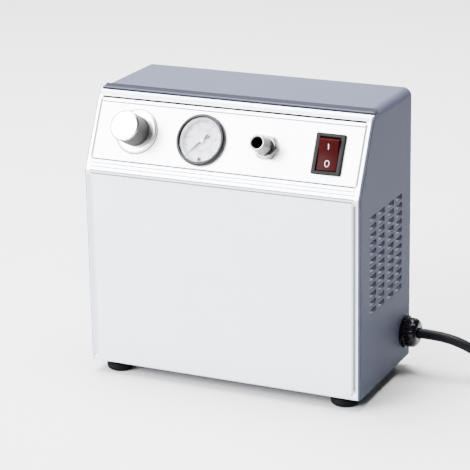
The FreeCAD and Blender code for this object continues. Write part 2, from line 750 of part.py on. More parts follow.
def power_plug():
    """Moulded plug with its tapered strain relief, lying on the coil."""
    y1 = plug_y - 34
    body = block(plug_x - 12.5, plug_x + 12.5, y1 - 32, y1, 4 * cord_radius, 4 * cord_radius + 26)
    edges = [e for e in body.Edges if abs(e.tangentAt(e.FirstParameter).y) > 0.99]
    body = body.makeFillet(4.0, edges)
    relief = Part.makeCone(cord_radius + 1.2, 9.0, 31, Vector(plug_x, plug_y - 4, plug_z),
                           Vector(0, -1, 0))
    return body.fuse(relief).removeSplitter()


def plug_pins():
    y1 = plug_y - 66
    low = 4 * cord_radius + 8.5
    pins = [bar(2.4, Vector(plug_x, y1, low + 11.9), Vector(plug_x, y1 - 20, low + 11.9))]
    for side in (-1, 1):
        x = plug_x + side * 6.35
        pins.append(block(x - 0.75, x + 0.75, y1 - 17, y1, low - 3.2, low + 3.2))
    return pins


# ---------- motor ----------

bolt_offset = 35.0


def bolt_holes(radius, x0, x1):
    holes = []
    for dy in (-bolt_offset, bolt_offset):
        for dz in (-bolt_offset, bolt_offset):
            holes.append(bar(radius, Vector(x0, axis_y + dy, axis_z + dz),
                             Vector(x1, axis_y + dy, axis_z + dz)))
    return holes


def motor_stator():
    stack = rounded_block(-20, 24, frame_half, 10.0, axis_y, axis_z)
    cuts = bolt_holes(2.6, -21, 25)
    cuts.append(bar(rotor_radius + air_gap, Vector(-21, axis_y, axis_z), Vector(25, axis_y, axis_z)))
    for k in range(12):
        slot = block(-21, 25, -2.2, 2.2, rotor_radius + 3, 33)
        slot.rotate(Vector(0, 0, 0), X, 30 * k)
        slot.translate(Vector(0, axis_y, axis_z))
        cuts.append(slot)
    return stack.cut(cuts)


def motor_windings():
    coils = []
    for x0, x1 in ((-33, -20), (24, 37)):
        coil = pipe_x(35.5, 24.5, x0, x1, axis_y, axis_z)
        far = x0 if x0 < 0 else x1
        rims = [e for e in coil.Edges if e.Closed and abs(e.CenterOfMass.x - far) < 1e-6]
        coils.append(coil.makeFillet(3.5, rims))
    return coils


def motor_rotor():
    core = pipe_x(rotor_radius, shaft_radius, -20, 24, axis_y, axis_z)
    core = core.fuse(pipe_x(18.5, 11.0, -24, -20, axis_y, axis_z))
    return core.fuse(pipe_x(18.5, 11.0, 24, 28, axis_y, axis_z))


def motor_shaft():
    return bar(shaft_radius, Vector(-56, axis_y, axis_z), Vector(70, axis_y, axis_z))


def motor_bearings():
    return [pipe_x(11.0, shaft_radius + running_gap, x0, x0 + 7, axis_y, axis_z)
            for x0 in (-44, 39)]


def pump_feet(solid, x0, x1):
    """Adds the two feet that stand on the rubber mounts."""
    for side in (-1, 1):
        y0, y1 = sorted((axis_y + side * 28, axis_y + side * 46))
        solid = solid.fuse(block(x0, x1, y0, y1, 26, 32))
        y0, y1 = sorted((axis_y + side * 28, axis_y + side * 32))
        solid = solid.fuse(block(x0, x1, y0, y1, 26, 44))
    return solid


def fan_end_bell():
    bell = rounded_block(24, 46, frame_half, 10.0, axis_y, axis_z)
    bell = bell.cut(bar(38.0, Vector(23, axis_y, axis_z), Vector(41, axis_y, axis_z)))
    bell = bell.fuse(bar(15.0, Vector(38.5, axis_y, axis_z), Vector(46, axis_y, axis_z)))
    cuts = bolt_holes(2.6, 23, 50)
    cuts.append(bar(11.0, Vector(39, axis_y, axis_z), Vector(47, axis_y, axis_z)))
    cuts.append(bar(7.0, Vector(37, axis_y, axis_z), Vector(47, axis_y, axis_z)))
    for k in range(8):
        window = block(40, 47, -5.5, 5.5, 18, 34)
        window.rotate(Vector(0, 0, 0), X, 45 * k)
        window.translate(Vector(0, axis_y, axis_z))
        cuts.append(window)
    cuts.append(bar(2.4, Vector(31, 84, 100), Vector(31, 84, 125)))
    bell = pump_feet(bell, 30, 46).cut(cuts)
    return bell.cut([bar(2.6, Vector(x, y, 20), Vector(x, y, 33)) for x, y in mount_places[2:]])


def cooling_fan():
    fan = pipe_x(10.0, shaft_radius, 52, 66, axis_y, axis_z)
    for k in range(7):
        blade = block(52.5, 65.5, -0.8, 0.8, 8.5, 34.0)
        blade.rotate(Vector(59, 0, 20), Z, 32)
        blade.rotate(Vector(0, 0, 0), X, 360 / 7 * k)
        blade.translate(Vector(0, axis_y, axis_z))
        fan = fan.fuse(blade)
    return fan.cut(bar(shaft_radius, Vector(50, axis_y, axis_z), Vector(72, axis_y, axis_z)))


def motor_bolts():
    bolts = []
    for dy in (-bolt_offset, bolt_offset):
        for dz in (-bolt_offset, bolt_offset):
            spot = Vector(46, axis_y + dy, axis_z + dz)
            bolt = bar(2.5, Vector(-45, spot.y, spot.z), spot)
            bolt = bolt.fuse(hexagon(8.0, spot, Vector(3.5, 0, 0)))
            bolts.append(bolt)
    return bolts


# ---------- pump ----------

roof_z = 112.0
liner_top = 136.0
plate_half = 29.0


def crankcase():
    """Cast housing: motor end bell, open crank chamber and the seat of the cylinder."""
    bell = rounded_block(-42, -20, frame_half, 10.0, axis_y, axis_z)
    bell = bell.cut(bar(38.0, Vector(-37, axis_y, axis_z), Vector(-19, axis_y, axis_z)))
    bell = bell.fuse(bar(15.0, Vector(-44, axis_y, axis_z), Vector(-36, axis_y, axis_z)))
    for side in (-1, 1):
        y0, y1 = sorted((axis_y + side * 28, axis_y + side * 32))
        bell = bell.fuse(block(-98, -41, y0, y1, 26, roof_z))
    bell = bell.fuse(block(-98, -41, axis_y - 32, axis_y + 32, roof_z - 6, roof_z))
    bell = pump_feet(bell, -94, -74)
    cuts = bolt_holes(2.6, -50, -19)
    cuts.append(bar(11.0, Vector(-45, axis_y, axis_z), Vector(-37, axis_y, axis_z)))
    cuts.append(bar(7.0, Vector(-45, axis_y, axis_z), Vector(-35, axis_y, axis_z)))
    cuts.append(bar(25.1, Vector(cylinder_x, axis_y, roof_z - 10),
                    Vector(cylinder_x, axis_y, roof_z + 1)))
    for x, y in head_screw_places():
        cuts.append(bar(1.9, Vector(x, y, roof_z - 10), Vector(x, y, roof_z + 1)))
    bell = bell.cut(cuts)
    return bell.cut([bar(2.6, Vector(x, y, 20), Vector(x, y, 33)) for x, y in mount_places[:2]])


def head_screw_places():
    return [(cylinder_x + dx, axis_y + dy) for dx in (-24, 24) for dy in (-24, 24)]


def crank_disc():
    """Eccentric with its counterweight and the crank pin at top dead centre."""
    web = bar(16.0, Vector(-56, axis_y, axis_z), Vector(-48, axis_y, axis_z))
    weight = bar(27.0, Vector(-56, axis_y, axis_z), Vector(-48, axis_y, axis_z))
    weight = weight.common(block(-60, -40, 0, 120, 0, axis_z - 3))
    pin = bar(4.0, Vector(-76, axis_y, axis_z + crank_throw), Vector(-55, axis_y, axis_z + crank_throw))
    bore = bar(shaft_radius, Vector(-56, axis_y, axis_z), Vector(-47, axis_y, axis_z))
    web = web.fuse(weight).cut(bore)
    pin = pin.cut(block(-56, -50, 0, 120, 0, 120))
    return web.fuse(pin).removeSplitter()


def rod_bearing():
    return pipe_x(11.0, 4.0 + running_gap, cylinder_x - 3.5, cylinder_x + 3.5,
                  axis_y, axis_z + crank_throw)


def connecting_rod():
    """Rod and piston in one piece, as in a wobble-piston pump."""
    pin_z = axis_z + crank_throw
    big_end = bar(14.5, Vector(cylinder_x - 4, axis_y, pin_z), Vector(cylinder_x + 4, axis_y, pin_z))
    shank = block(cylinder_x - 4, cylinder_x + 4, axis_y - 6, axis_y + 6, pin_z + 10, 125)
    head = bar(18.5, Vector(cylinder_x, axis_y, 124), Vector(cylinder_x, axis_y, 129))
    rod = big_end.fuse(shank).fuse(head)
    return rod.cut(bar(11.0, Vector(cylinder_x - 5, axis_y, pin_z), Vector(cylinder_x + 5, axis_y, pin_z)))


def piston_cup():
    cup = bar(21.9, Vector(cylinder_x, axis_y, 129), Vector(cylinder_x, axis_y, 130.2))
    return cup.fuse(pipe_z(21.9, 20.9, cylinder_x, axis_y, 130, 134))


def piston_cap():
    """Disc that clamps the cup to the piston; it goes in the rod's node."""
    cap = bar(17.0, Vector(cylinder_x, axis_y, 130.2), Vector(cylinder_x, axis_y, 133))
    return cap.fuse(bar(3.6, Vector(cylinder_x, axis_y, 133), Vector(cylinder_x, axis_y, 134.6)))


def cylinder_liner():
    liner = pipe_z(25.0, bore_radius, cylinder_x, axis_y, 106, liner_top)
    return liner.fuse(pipe_z(26.5, 24.5, cylinder_x, axis_y, roof_z, roof_z + 3)).cut(
        [bar(2.0, Vector(x, y, 100), Vector(x, y, 140)) for x, y in head_screw_places()])


def head_block(z0, z1):
    solid = block(cylinder_x - plate_half, cylinder_x + plate_half,
                  axis_y - plate_half, axis_y + plate_half, z0, z1)
    edges = [e for e in solid.Edges if abs(e.tangentAt(e.FirstParameter).z) > 0.99]
    return solid.makeFillet(5.0, edges)


def valve_plate():
    plate = head_block(liner_top, liner_top + 4)
    cuts = [bar(1.9, Vector(x, y, 130), Vector(x, y, 150)) for x, y in head_screw_places()]
    for dx in (-10.0, 10.0):
        cuts.append(bar(2.5, Vector(cylinder_x + dx, axis_y, 130), Vector(cylinder_x + dx, axis_y, 150)))
    return plate.cut(cuts)


def reed_valves():
    """Two spring steel reeds: the intake below the plate and the outlet above it."""
    intake = block(cylinder_x - 14, cylinder_x - 6, axis_y - 12, axis_y + 6, liner_top - 0.3, liner_top)
    outlet = block(cylinder_x + 6, cylinder_x + 14, axis_y - 12, axis_y + 6,
                   liner_top + 4, liner_top + 4.3)
    return intake, outlet


def cylinder_head():
    head_top = liner_top + 22
    head = head_block(liner_top + 4, head_top)
    cuts = [bar(1.9, Vector(x, y, 130), Vector(x, y, 170)) for x, y in head_screw_places()]
    for x0, x1 in ((-17, -2), (2, 17)):
        cuts.append(block(cylinder_x + x0, cylinder_x + x1, axis_y - 17, axis_y + 17,
                          liner_top + 3, liner_top + 12))
    for k in range(7):
        y0 = axis_y - 19.5 + 6 * k
        cuts.append(block(cylinder_x - 4, cylinder_x + 18, y0, y0 + 3, liner_top + 15, head_top + 1))
    head = head.cut(cuts)
    port = liner_top + 9
    head = head.fuse(bar(3.0, Vector(cylinder_x + 28, axis_y, port), Vector(cylinder_x + 41, axis_y, port)))
    bore = bar(1.8, Vector(cylinder_x + 15, axis_y, port), Vector(cylinder_x + 42, axis_y, port))
    return head.cut(bore).removeSplitter()


def head_screws():
    return [screw(Vector(x, y, liner_top + 22), Vector(0, 0, -1), 1.8, 48.0, 3.4, 2.6)
            for x, y in head_screw_places()]


def intake_filter():
    x, y = cylinder_x - 14, axis_y
    z0 = liner_top + 22
    return pipe_z(9.0, 6.5, x, y, z0, z0 + 12).fuse(bar(9.0, Vector(x, y, z0 + 12), Vector(x, y, z0 + 15)))


def pressure_hose():
    """Silicone hose from the cylinder head to the regulator's inlet."""
    port = liner_top + 9
    barb = [panel_point(regulator_x + 6, regulator_t + 4, off) for off in (-42, -58)]
    route = [Vector(cylinder_x + 30, axis_y, port), Vector(-20, axis_y, port + 0.5),
             Vector(-8, 68, port + 7), Vector(-18, 80, port + 18), Vector(-36, 86, port + 28),
             Vector(-56, 84, port + 35.5), Vector(-69.5, 79, port + 36.5), barb[1], barb[0]]
    hose = tube(route, 4.6, "pressure hose")
    for start, run in ((route[0], route[1]), (route[-1], route[-2])):
        way = (run - start).normalize()
        hose = hose.cut(bar(3.05, start - way, start + way * 11.5))
    return hose


def panel_air_lines():
    """Small hoses from the regulator to the gauge and to the outlet."""
    side = regulator_t + 2
    gauge_line = [(regulator_x + 18, side, -32), (gauge_x - 20, side, -32.5),
                  (gauge_x - 18, side, -46), (gauge_x - 16.5, side - 0.5, -62),
                  (gauge_x - 9, gauge_t + 1, -68), (gauge_x - 1.5, gauge_t, -62),
                  (gauge_x, gauge_t, -49), (gauge_x, gauge_t, -33)]
    outlet_line = [(regulator_x, regulator_t - 19, -32), (regulator_x, regulator_t - 34, -32),
                   (regulator_x + 14, regulator_t - 44, -33), (regulator_x + 44, regulator_t - 43, -36),
                   (outlet_x - 30, outlet_t - 34, -42), (outlet_x - 8, outlet_t - 16, -46),
                   (outlet_x, outlet_t - 2, -40), (outlet_x, outlet_t, -27), (outlet_x, outlet_t, -14)]
    lines = []
    for name, run in (("gauge line", gauge_line), ("outlet line", outlet_line)):
        points = [panel_point(*p) for p in run]
        points[1] = points[1] + Vector(0.4, 0, 0)
        points[-2] = points[-2] + Vector(0.4, 0, 0)
        line = tube(points, 4.2, name)
        for start, towards in ((points[0], points[1]), (points[-1], points[-2])):
            way = (towards - start).normalize()
            line = line.cut(bar(3.3, start - way, start + way * 11.0))
        lines.append(line)
    return lines


def pump_mounts():
    return [pipe_z(8.0, 2.6, x, y, foot_height + base_wall, 26) for x, y in mount_places]


def internal_wiring():
    """Live, neutral and motor wires between the gland, the switch and the windings."""
    back = [panel_point(switch_x + dx, switch_t + dt, -29.5) for dx, dt in ((5, 7), (5, -7), (-5, -7))]
    wires = []
    for k in (0, 1):
        shift = 4.0 * k
        wires.append(tube([
            Vector(104, 101 - shift, 36), Vector(94, 101 - shift, 44), Vector(92, 100 - shift, 70),
            Vector(92, 98 - shift, 120), Vector(92, 90 - shift, 160),
            Vector(93.8, back[k].y + 24, back[k].z - 12), back[k]], 1.6))
    wires.append(tube([
        Vector(31, 84, 107.8), Vector(31.4, 84, 130),
        Vector(54, 82, 150), Vector(78, 70, 164),
        back[2] + Vector(0, 16, -8), back[2]], 1.6))
    return wires


# ---------- all nodes ----------

def main():
    os.makedirs("parts", exist_ok=True)
    export("case_shell", case_shell())
    export("rear_panel", rear_panel())
    export("rear_panel_screws", *rear_panel_screws())
    export("base_plate", base_plate())
    export("front_cover", front_cover())
    export("control_panel", control_panel())
    names = ("foot_front_left", "foot_front_right", "foot_rear_left", "foot_rear_right")
    for name, (x, y) in zip(names, foot_places):
        export(name, foot(x, y))
    export("foot_screws", *foot_screws())

    export("regulator_knob", regulator_knob())
    export("regulator_spindle", regulator_spindle())
    export("knob_lock_ring", knob_lock_ring())
    export("regulator_bonnet", regulator_bonnet())
    export("regulator_seat", regulator_seat())
    export("regulator_spring", regulator_spring())
    export("regulator_diaphragm", regulator_diaphragm())
    export("regulator_body", regulator_body())

    export("gauge_case", gauge_case())
    export("gauge_bezel", gauge_bezel())
    export("gauge_lens", gauge_lens())
    export("gauge_dial", gauge_dial())
    export("gauge_needle", gauge_needle())
    export("gauge_movement", gauge_movement())

    export("outlet_fitting", outlet_fitting())
    export("outlet_nut", outlet_nut())
    export("switch_housing", switch_housing())
    export("switch_rocker", switch_rocker())
    export("switch_terminals", *switch_terminals())

    export("gland_body", gland_body())
    export("gland_nut", gland_nut())
    export("gland_locknut", gland_locknut())
    export("power_cord", *power_cord())
    export("power_cord_coil", power_cord_coil())
    export("power_plug", power_plug())
    export("plug_pins", *plug_pins())

    export("motor_stator", motor_stator())
    export("motor_windings", *motor_windings())
    export("motor_rotor", motor_rotor())
    export("motor_shaft", motor_shaft())
    export("motor_bearings", *motor_bearings())
    export("fan_end_bell", fan_end_bell())
    export("cooling_fan", cooling_fan())
    export("motor_bolts", *motor_bolts())

    export("crankcase", crankcase())
    export("crank_disc", crank_disc())
    export("rod_bearing", rod_bearing())
    export("connecting_rod", connecting_rod(), piston_cap())
    export("piston_cup", piston_cup())
    export("cylinder_liner", cylinder_liner())
    export("valve_plate", valve_plate())
    export("reed_valves", *reed_valves())
    export("cylinder_head", cylinder_head())
    export("head_screws", *head_screws())
    export("intake_filter", intake_filter())
    export("pressure_hose", pressure_hose())
    export("panel_air_lines", *panel_air_lines())
    export("pump_mounts", *pump_mounts())
    export("internal_wiring", *internal_wiring())


main()
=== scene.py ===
import bpy
import json
import math
from mathutils import Matrix, Vector

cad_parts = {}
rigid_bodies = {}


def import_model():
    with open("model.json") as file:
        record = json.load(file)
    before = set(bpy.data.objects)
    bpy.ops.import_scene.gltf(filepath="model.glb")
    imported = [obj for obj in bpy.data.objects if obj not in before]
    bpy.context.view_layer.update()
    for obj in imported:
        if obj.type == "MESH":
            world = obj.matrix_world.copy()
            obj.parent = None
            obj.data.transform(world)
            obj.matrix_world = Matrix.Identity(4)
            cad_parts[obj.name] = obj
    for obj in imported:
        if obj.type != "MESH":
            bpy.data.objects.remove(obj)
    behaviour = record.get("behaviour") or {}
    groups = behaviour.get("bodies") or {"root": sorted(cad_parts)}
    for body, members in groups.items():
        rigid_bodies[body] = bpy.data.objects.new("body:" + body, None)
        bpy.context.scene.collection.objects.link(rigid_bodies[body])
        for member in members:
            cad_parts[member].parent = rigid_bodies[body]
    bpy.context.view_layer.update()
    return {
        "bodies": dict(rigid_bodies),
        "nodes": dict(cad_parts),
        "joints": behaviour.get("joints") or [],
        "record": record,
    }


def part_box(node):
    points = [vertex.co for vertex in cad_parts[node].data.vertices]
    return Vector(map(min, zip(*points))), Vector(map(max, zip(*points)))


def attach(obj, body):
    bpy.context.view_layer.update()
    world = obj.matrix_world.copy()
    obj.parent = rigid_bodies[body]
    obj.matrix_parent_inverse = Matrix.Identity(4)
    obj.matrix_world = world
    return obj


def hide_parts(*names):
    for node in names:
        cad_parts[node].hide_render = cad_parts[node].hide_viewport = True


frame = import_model()
nodes = frame["nodes"]
print("frame loaded with", len(nodes), "nodes")

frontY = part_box("front_cover")[0].y   # the case's front face

caseShape = {
    "halfWidth": 0.120,
    "top": 0.2386,
    "bottom": 0.0096,
    "lean": 26.2,          # degrees that the control panel leans back
    "kneeZ": 0.17545,
    "browRound": 0.015,
    "panelFoot": 0.0106,   # slope length from the knee to the panel's lower edge
}
leanSin = math.sin(math.radians(caseShape["lean"]))
leanCos = math.cos(math.radians(caseShape["lean"]))
browTangent = caseShape["browRound"] * math.tan(math.radians((90 - caseShape["lean"]) / 2))
browY = (caseShape["top"] - caseShape["kneeZ"]) * leanSin / leanCos + browTangent
browZ = caseShape["top"] - caseShape["browRound"]


cameraPlace = {
    "x": 0.6674, "y": -1.3878, "z": 0.6372,   # from the middle of the front face, at the table
    "turn": 25.205, "tip": -18.107, "roll": -1.042,
    "lens": 155.94,
}


def placeCamera():
    bpy.ops.object.camera_add()
    camera = bpy.context.object
    camera.name = "studioCamera"
    turn = Matrix.Rotation(math.radians(cameraPlace["turn"]), 4, "Z")
    tip = Matrix.Rotation(math.radians(90 + cameraPlace["tip"]), 4, "X")
    roll = Matrix.Rotation(math.radians(cameraPlace["roll"]), 4, "Z")
    place = Vector((cameraPlace["x"], cameraPlace["y"] + frontY, cameraPlace["z"]))
    camera.matrix_world = Matrix.Translation(place) @ turn @ tip @ roll
    camera.data.sensor_width = 36
    camera.data.lens = cameraPlace["lens"]
    camera.data.clip_start = 0.05
    camera.data.clip_end = 60
    bpy.context.scene.camera = camera


studio = {
    "room": 3.4, "roomDark": 0.08,      # the room is dark off the right-hand side
    "key": {"place": (-1.3, -2.0, 1.5), "size": 1.6, "power": 245, "tint": (1.0, 1.0, 1.0)},
    "ceiling": {"place": (-0.3, 0.2, 2.2), "size": 1.8, "power": 290, "tint": (1.0, 1.0, 1.0)},
    "rightCard": {"place": (2.2, 0.9, 0.7), "size": 0.5, "power": 0.6, "tint": (0.92, 0.95, 1.0)},
    "floorColour": (0.66, 0.66, 0.66, 1.0),
}


def lightStudio():
    world = bpy.data.worlds.new("softRoom")
    bpy.context.scene.world = world
    world.use_nodes = True
    tree = world.node_tree
    room = tree.nodes["Background"]
    coords = tree.nodes.new("ShaderNodeTexCoord")
    split = tree.nodes.new("ShaderNodeSeparateXYZ")
    share = tree.nodes.new("ShaderNodeMapRange")
    tree.links.new(coords.outputs["Generated"], split.inputs[0])
    tree.links.new(split.outputs[0], share.inputs["Value"])
    tree.links.new(share.outputs[0], room.inputs["Strength"])
    for name, value in (("From Min", -0.5), ("From Max", 0.12), ("To Min", studio["room"]),
                        ("To Max", studio["roomDark"])):
        share.inputs[name].default_value = value
    room.inputs["Color"].default_value = (1.0, 1.0, 1.0, 1.0)
    for name in ("key", "ceiling", "rightCard"):
        lamp = studio[name]
        bpy.ops.object.light_add(type="AREA", location=lamp["place"])
        light = bpy.context.object
        light.name = name
        light.data.size = lamp["size"]
        light.data.energy = lamp["power"]
        light.data.color = lamp["tint"]
        aim = Vector((0, 0, 0.12)) - light.location
        light.rotation_euler = aim.to_track_quat("-Z", "Y").to_euler()


placeCamera()
lightStudio()
print("camera and lights placed")


class Wire:
    # an output socket that can be used in Python sums
    def __init__(self, finish, socket):
        self.finish = finish
        self.socket = socket

    def maths(self, operation, other, turned=False):
        pair = (other, self) if turned else (self, other)
        return self.finish.node("Math", {"operation": operation}, {0: pair[0], 1: pair[1]})

    def __add__(self, other):
        return self.maths("ADD", other)

    def __radd__(self, other):
        return self.maths("ADD", other)

    def __sub__(self, other):
        return self.maths("SUBTRACT", other)

    def __rsub__(self, other):
        return self.maths("SUBTRACT", other, True)

    def __mul__(self, other):
        return self.maths("MULTIPLY", other)

    def __rmul__(self, other):
        return self.maths("MULTIPLY", other)


class Finish:
    # one material, built node by node
    def __init__(self, name, roughness=0.5, metallic=0.0, coat=0.0, specular=0.5):
        self.material = bpy.data.materials.new(name)
        self.material.use_nodes = True
        self.tree = self.material.node_tree
        self.shader = self.tree.nodes["Principled BSDF"]
        self.shader.inputs["Roughness"].default_value = roughness
        self.shader.inputs["Metallic"].default_value = metallic
        self.shader.inputs["Coat Weight"].default_value = coat
        self.shader.inputs["Specular IOR Level"].default_value = specular

    def node(self, kind, settings=None, links=None, output=0):
        made = self.tree.nodes.new("ShaderNode" + kind)
        for key, value in (settings or {}).items():
            if key == "stops":
                self.setStops(made.color_ramp, value)
            else:
                setattr(made, key, value)
        for key, value in (links or {}).items():
            self.feed(made.inputs[key], value)
        return Wire(self, made.outputs[output])

    def setStops(self, ramp, stops):
        while len(ramp.elements) < len(stops):
            ramp.elements.new(0.5)
        for element, (place, colour) in zip(ramp.elements, stops):
            element.position = place
            element.color = colour if len(colour) == 4 else (*colour, 1.0)

    def feed(self, socket, value):
        if isinstance(value, Wire):
            self.tree.links.new(value.socket, socket)
        elif hasattr(value, "__len__") and len(value) == 3 and socket.type == "RGBA":
            socket.default_value = (*value, 1.0)
        else:
            socket.default_value = value

    def put(self, name, value):
        self.feed(self.shader.inputs[name], value)
        return self

    def place(self, scale=(1, 1, 1), shift=(0, 0, 0), turn=(0, 0, 0)):
        coords = self.node("TexCoord", output="Object")
        return self.node("Mapping", None,
                         {"Vector": coords, "Scale": scale, "Location": shift, "Rotation": turn})

    def noise(self, scale, detail=2.0, roughness=0.5, stretch=(1, 1, 1), shift=(0, 0, 0)):
        return self.node("TexNoise", None, {"Vector": self.place(stretch, shift), "Scale": scale,
                                            "Detail": detail, "Roughness": roughness})

    def split(self, scale=(1, 1, 1), shift=(0, 0, 0), turn=(0, 0, 0)):
        made = self.node("SeparateXYZ", None, {"Vector": self.place(scale, shift, turn)})
        outs = made.socket.node.outputs
        return [Wire(self, outs[k]) for k in range(3)]

    def ramp(self, value, *stops):
        return self.node("ValToRGB", {"stops": stops}, {"Fac": value})

    def between(self, value, low, high):
        return self.node("MapRange", None, {"Value": value, "From Min": low, "From Max": high})

    def mix(self, share, first, second, way="MIX"):
        return self.node("Mix", {"data_type": "RGBA", "blend_type": way},
                         {0: share, 6: first, 7: second}, 2)

    def bump(self, height, strength=0.3, distance=0.0005, under=None):
        links = {"Height": height, "Strength": strength, "Distance": distance}
        if under is not None:
            links["Normal"] = under
        return self.node("Bump", None, links)


def shade(colour, share):
    return tuple(min(1.0, c * share) for c in colour)


# painted shade: where and how strongly the cover's long valleys are darkened
valleyShadeMask = {
    "middle": 0.1154, "edge": (0.0019, 0.0006), "foot": (0.0135, 0.0185), "head": (0.1722, 0.1700),
    "across": (-0.05, 0.05), "gain": 0.75, "least": 0.2, "dark": 0.12,
}


def paintFinish(name, colour, roughness, grain, fleck=0.0, metallic=0.0, wear=0.06, specular=0.3,
                paintValleyShade=False):
    # sprayed paint: orange peel, tiny flecks and slightly uneven gloss; on request also painted shade in the
    # long valleys beside the front face
    finish = Finish(name, metallic=metallic, specular=specular)
    peel = finish.noise(900, 3)
    cloud = finish.noise(14, 3)
    flecks = finish.noise(4200, 1)
    base = finish.mix(finish.between(cloud, 0.3, 0.7), shade(colour, 1 - wear), shade(colour, 1 + wear))
    if fleck:
        bright = finish.between(flecks, 0.60, 0.72) * fleck
        base = finish.mix(bright, base, shade(colour, 1.9))
        dim = finish.between(flecks, 0.40, 0.30) * fleck
        base = finish.mix(dim, base, shade(colour, 0.62))
    if paintValleyShade:
        # painted shade: darkens the long valleys beside the front face, strongly on the right
        # and only a little on the left; the difference is for looks
        x, y, z = finish.split()
        side = finish.node("Math", {"operation": "ABSOLUTE"}, {0: x})
        offset = finish.node("Math", {"operation": "ABSOLUTE"}, {0: side - valleyShadeMask["middle"]})
        inside = finish.between(offset, *valleyShadeMask["edge"]) * finish.between(z, *valleyShadeMask["foot"])
        strength = finish.between(x, *valleyShadeMask["across"]) * valleyShadeMask["gain"] + valleyShadeMask["least"]
        inside = inside * finish.between(z, *valleyShadeMask["head"]) * strength
        base = finish.mix(inside, base, shade(colour, valleyShadeMask["dark"]))
    finish.put("Base Color", base)
    finish.put("Roughness", finish.between(cloud, 0.2, 0.8) * 0.07 + roughness - 0.03 + flecks * 0.05)
    finish.put("Normal", finish.bump(peel, grain, 0.0002))
    return finish.material


def chromeFinish(name, colour, roughness=0.12, scratch=0.05):
    # plated metal with fine polishing marks
    finish = Finish(name, metallic=1.0)
    smear = finish.noise(60, 3)
    marks = finish.noise(700, 2, stretch=(1, 1, 9))
    finish.put("Base Color", finish.mix(finish.between(smear, 0.35, 0.7), colour, shade(colour, 0.9)))
    finish.put("Roughness", finish.between(marks, 0.3, 0.8) * 0.08 + roughness + smear * 0.05)
    finish.put("Normal", finish.bump(marks, scratch, 0.0001))
    return finish.material


def plasticFinish(name, colour, roughness=0.4, grain=0.25, scale=2400, coat=0.0, specular=0.10):
    # moulded plastic with a fine spark-eroded grain
    finish = Finish(name, coat=coat, specular=specular)
    grainNoise = finish.noise(scale, 2)
    cloud = finish.noise(35, 3)
    finish.put("Base Color", finish.mix(finish.between(cloud, 0.3, 0.75), shade(colour, 0.85),
                                        shade(colour, 1.2)))
    finish.put("Roughness", finish.between(cloud, 0.25, 0.8) * 0.10 + roughness)
    finish.put("Normal", finish.bump(grainNoise, grain, 0.0001))
    return finish.material


def rubberFinish(name, colour):
    # soft rubber with bloom and dust in patches
    finish = Finish(name, roughness=0.7, specular=0.06)
    dust = finish.noise(180, 5, 0.65)
    grainNoise = finish.noise(3200, 2)
    dusty = finish.between(dust, 0.52, 0.75) * 0.25
    finish.put("Base Color", finish.mix(dusty, colour, shade(colour, 3.5)))
    finish.put("Roughness", dust * 0.25 + 0.52)
    finish.put("Normal", finish.bump(grainNoise, 0.3, 0.0002))
    return finish.material


def castFinish(name, colour, roughness=0.45):
    # blasted aluminium casting
    finish = Finish(name, metallic=0.9)
    pits = finish.noise(1500, 4, 0.7)
    cloud = finish.noise(40, 3)
    finish.put("Base Color", finish.mix(finish.between(cloud, 0.3, 0.7), shade(colour, 0.82), colour))
    finish.put("Roughness", pits * 0.2 + roughness - 0.1)
    finish.put("Normal", finish.bump(pits, 0.5, 0.0003))
    return finish.material


def turnedFinish(name, colour, roughness=0.3):
    # plated steel with lathe or rolling marks
    finish = Finish(name, metallic=1.0)
    marks = finish.noise(2600, 2, stretch=(1, 1, 0.15))
    tarnish = finish.noise(90, 4)
    finish.put("Base Color", finish.mix(finish.between(tarnish, 0.4, 0.75), colour, shade(colour, 0.72)))
    finish.put("Roughness", marks * 0.14 + roughness - 0.05 + tarnish * 0.08)
    finish.put("Normal", finish.bump(marks, 0.18, 0.0001))
    return finish.material


def laminationFinish():
    # stacked motor sheets, with a bright edge now and then
    finish = Finish("laminatedSteel", metallic=0.85)
    x, y, z = finish.split()
    sheets = finish.node("Math", {"operation": "SINE"}, {0: x * 6283.0})
    rust = finish.noise(120, 4)
    tone = finish.mix(finish.between(sheets, -0.4, 0.9), (0.09, 0.09, 0.1), (0.28, 0.28, 0.3))
    finish.put("Base Color", finish.mix(finish.between(rust, 0.62, 0.8) * 0.5, tone, (0.16, 0.08, 0.05)))
    finish.put("Roughness", rust * 0.3 + 0.4)
    finish.put("Normal", finish.bump(sheets, 0.5, 0.0002))
    return finish.material


def windingFinish():
    # enamelled wire wound round the motor's axis
    finish = Finish("enamelledWire", metallic=0.6, coat=0.6)
    x, y, z = finish.split(shift=(0, 0, 0))
    turnX = finish.node("Math", {"operation": "SINE"}, {0: x * 7800.0})
    wobble = finish.noise(300, 2)
    finish.put("Base Color", finish.mix(finish.between(turnX, -1, 1), (0.20, 0.06, 0.02), (0.66, 0.27, 0.10)))
    finish.put("Roughness", wobble * 0.2 + 0.3)
    finish.put("Normal", finish.bump(turnX * 0.8 + wobble * 0.4, 0.6, 0.0003))
    return finish.material


def hoseFinish():
    finish = Finish("siliconeHose", roughness=0.35, coat=0.3)
    haze = finish.noise(160, 3)
    finish.put("Base Color", finish.mix(haze, (0.62, 0.66, 0.70), (0.78, 0.80, 0.82)))
    finish.put("Roughness", haze * 0.2 + 0.28)
    finish.put("Normal", finish.bump(finish.noise(900, 2), 0.1, 0.0002))
    return finish.material


def feltFinish():
    finish = Finish("filterFelt", roughness=0.9)
    fibres = finish.noise(1400, 5, 0.8, stretch=(1, 1, 0.4))
    finish.put("Base Color", finish.mix(fibres, (0.38, 0.38, 0.35), (0.66, 0.66, 0.62)))
    finish.put("Normal", finish.bump(fibres, 0.9, 0.0006))
    return finish.material


